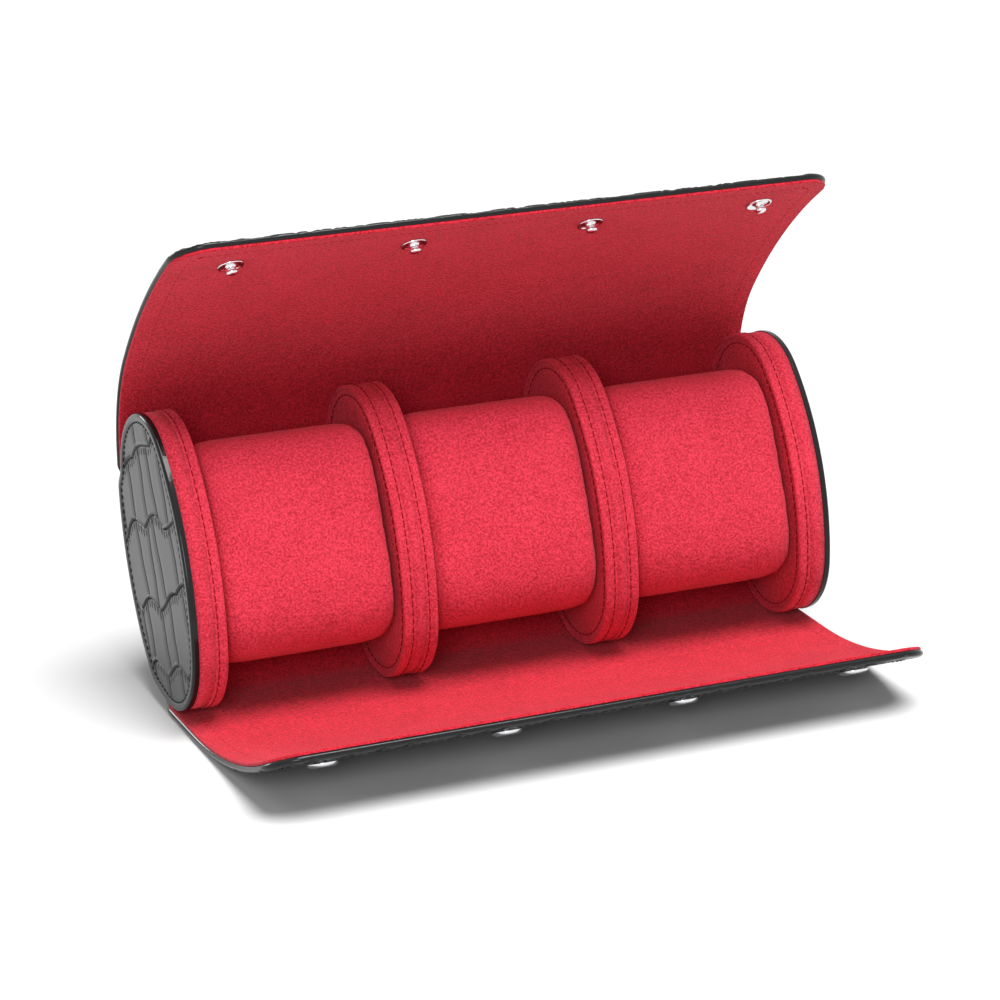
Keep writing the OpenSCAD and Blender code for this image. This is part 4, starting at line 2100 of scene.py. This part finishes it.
@dataclass
class Snaps:
    """Turned metal studs and sockets."""

    AROUND = 48
    BEAD_STEPS = 7
    CROWN_STEPS = 8
    # Turned rings in millimetres: radius beyond the flange's, knob's or bore's, and height.
    DISH = ((-0.4, 0.5), (-0.65, 0.2))
    KNOB = (
        (0.5, 0.2), (-0.2, 0.55), (-0.4, 1.2), (-0.35, 1.7), (0.0, 2.3), (0.0, 2.6), (-0.35, 3.05),
    )
    TIP = ((-1.0, 0.0),)
    BRIM = ((-0.15, 0.0),)
    MOUTH = ((0.5, -0.12), (0.12, -0.45))
    BORE = ((0.0, 0.42), (0.4, 0.4), (0.4, -0.1), (0.0, -0.12))
    FLOOR = ((0.0, 0.2),)

    course: SheetCourse
    sheet: SheetSize
    size: SnapSize

    def turned(
        self, name: str, profile: Pairs, u: float, offset: float, lift: float
    ) -> bpy.types.Object:
        """Turns a profile at each snap and joins them into one piece.

        Args:
            name: The piece's name.
            profile: Radius and height of each ring, from one flat end to the other.
            u: Distance of the snaps along the sheet.
            offset: Their distance from the lining's surface.
            lift: Sign of the direction away from that surface.

        Returns:
            The new object.
        """
        right = np.array([1.0, 0.0, 0.0])
        up = with_x(0.0, self.course.outward(u) * lift)
        turn = (np.arange(self.AROUND) * 2 * math.pi / self.AROUND)[:, None]
        ring = np.cos(turn) * right + np.sin(turn) * np.cross(up, right)
        one = np.concatenate([r * ring + h * up for r, h in profile])
        base = self.course.at(u, offset)
        points = np.concatenate([one + with_x(x, base) for x in self.size.places()])
        faces = copies(closed_rings(len(profile), self.AROUND), len(one), self.size.count)
        return add_mesh(name, points, faces, METAL)

    def stud(self) -> Pairs:
        """Profile of a stud: a beaded flange, a dish and a knob.

        Returns:
            Radius and height of each ring.
        """
        q = self.size
        bead = q.flange_bead
        rim = q.flange_radius - 2 * bead
        turns = np.linspace(0, math.pi, self.BEAD_STEPS)
        flange = [
            (rim + bead * math.sin(k), q.flange_height - bead * math.cos(k)) for k in turns
        ]
        knob = around_point(q.knob_radius, 0.0, self.KNOB)
        tip = around_point(q.knob_radius, q.stud_height, self.TIP)
        return flange + around_point(rim, 0.0, self.DISH) + knob + tip

    def socket(self) -> Pairs:
        """Profile of a socket: a barrel, a domed cap and a bore with a spring's groove.

        Returns:
            Radius and height of each ring.
        """
        q = self.size
        bore = q.knob_radius + q.knob_clearance
        crown = bore + q.crown_width
        wide, tall = q.socket_radius - crown, q.socket_height - q.socket_brim
        turns = np.linspace(0, math.pi / 2, self.CROWN_STEPS)
        barrel = [(q.barrel_radius, -q.barrel_depth), (q.barrel_radius, q.socket_lift)]
        brim = around_point(q.socket_radius, q.socket_lift, self.BRIM)
        cap = [(crown + wide * math.cos(k), q.socket_brim + tall * math.sin(k)) for k in turns]
        mouth = around_point(bore, q.socket_height, self.MOUTH)
        inside = around_point(bore, 0.0, self.BORE)
        floor = around_point(bore, -q.barrel_depth, self.FLOOR)
        return barrel + brim + cap + mouth + inside + floor

    def build(self) -> None:
        """Builds the studs on the lid and the sockets on the front flap."""
        q = self.size
        studs = self.turned("press_studs", self.stud(), q.stud_edge, 0.0, -1.0)
        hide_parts("snap_studs")
        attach(studs, "lid_4")
        u = self.course.length - q.socket_edge
        sockets = self.turned("press_sockets", self.socket(), u, self.sheet.thickness, 1.0)
        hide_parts("snap_sockets")
        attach(sockets, "front_3")
        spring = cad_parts["socket_springs"]
        spring.data.materials.clear()
        spring.data.materials.append(METAL.material())
        log.info("snaps: %d studs and %d sockets", q.count, q.count)


# ---- Studio ----


@dataclass(frozen=True)
class SoftLight:
    """A round soft lamp that looks at the case."""

    name: str
    place: tuple[float, float, float]
    size: float
    power: float


@dataclass(frozen=True)
class Ceiling:
    """A wide even light from above."""

    towards: tuple[float, float, float] = (0.12, -0.22, 1.0)
    strength: float = 4.3
    spread: float = math.radians(35)


@dataclass
class Studio:
    """Floor, lamps, surroundings and camera."""

    eye: tuple[float, float, float] = (-0.4539, -1.0297, 0.4564)
    look: tuple[float, float, float] = (0.3819, 0.8618, -0.3338)
    lens: float = 130.5
    sensor: float = 36
    clip: tuple[float, float] = (0.05, 20)
    floor_half: float = 4.0
    floor_height: float = -0.0002
    fill: float = 0.16
    aim_height: float = 0.05
    ceiling: Ceiling = Ceiling()
    lights: tuple[SoftLight, ...] = (
        SoftLight("front_light", (-0.6, -1.1, 0.6), 0.5, 5.5),
        SoftLight("back_light", (-0.75, 1.3, 0.42), 0.45, 5.0),
    )

    @staticmethod
    def place(
        data: Union[bpy.types.Camera, bpy.types.Light], place: Vector, direction: Vector
    ) -> bpy.types.Object:
        """Puts a camera or a lamp into the scene.

        Args:
            data: The camera or lamp.
            place: Where it stands.
            direction: Where it looks.

        Returns:
            The new object.
        """
        obj = bpy.data.objects.new(data.name, data)
        obj.location = place
        obj.rotation_euler = direction.to_track_quat("-Z", "Y").to_euler()
        bpy.context.scene.collection.objects.link(obj)
        return obj

    def camera(self) -> None:
        """Places the camera."""
        data = bpy.data.cameras.new("camera")
        data.lens = self.lens
        data.sensor_width = self.sensor
        data.clip_start, data.clip_end = self.clip
        bpy.context.scene.camera = self.place(data, Vector(self.eye), Vector(self.look))

    def floor(self) -> None:
        """Lays a wide pale floor just under the case."""
        half = self.floor_half
        corners = ((-half, -half), (half, -half), (half, half), (-half, half))
        points = np.array([(x, y, self.floor_height) for x, y in corners])
        add_mesh("floor", points, [[0, 1, 2, 3]], PALE)

    def world(self) -> None:
        """Surrounds the scene with white: full where it is seen or mirrored, dimmer as light."""
        world = bpy.data.worlds.new("white_room")
        bpy.context.scene.world = world
        graph = Graph(world)
        ray = graph.add("LightPath", {}).node.outputs
        seen = graph.math("ADD", ray["Is Camera Ray"], ray["Is Glossy Ray"])
        seen = graph.math("ADD", seen, ray["Is Transmission Ray"])
        strength = graph.span(seen, self.fill, 1.0)
        back = graph.tree.nodes["Background"]
        graph.feed(back, {"Color": rgb(1, 1, 1), "Strength": strength})

    def lamps(self) -> None:
        """Hangs the ceiling's light and the soft lamps."""
        above = bpy.data.lights.new("ceiling_light", "SUN")
        above.energy = self.ceiling.strength
        above.angle = self.ceiling.spread
        towards = Vector(self.ceiling.towards)
        self.place(above, towards, -towards)
        for light in self.lights:
            data = bpy.data.lights.new(light.name, "AREA")
            data.shape = "DISK"
            data.size = light.size
            data.energy = light.power
            at = Vector(light.place)
            self.place(data, at, Vector((0.0, 0.0, self.aim_height)) - at)

    def build(self) -> None:
        """Builds the whole studio."""
        self.camera()
        self.floor()
        self.world()
        self.lamps()
        bpy.context.scene.view_settings.view_transform = "Standard"
        log.info("studio: %d lights", len(self.lights) + 1)


def main() -> None:
    """Builds every sub-assembly and the studio."""
    logging.basicConfig(level=logging.INFO, format="%(name)s %(message)s")
    oval_size, case, sheet = OvalSize(), CaseSize(), SheetSize()
    course = SheetCourse(sheet, oval_size)
    oval = Oval(oval_size, course.middle)
    stitcher = Stitcher(StitchSize())
    WrappedSheet(course, sheet, case, stitcher).build()
    Discs(oval, course, case, sheet, stitcher).build()
    Cushions(oval, case, CushionSize()).build()
    Snaps(course, sheet, SnapSize()).build()
    Studio().build()


if __name__ == "__main__":
    main()
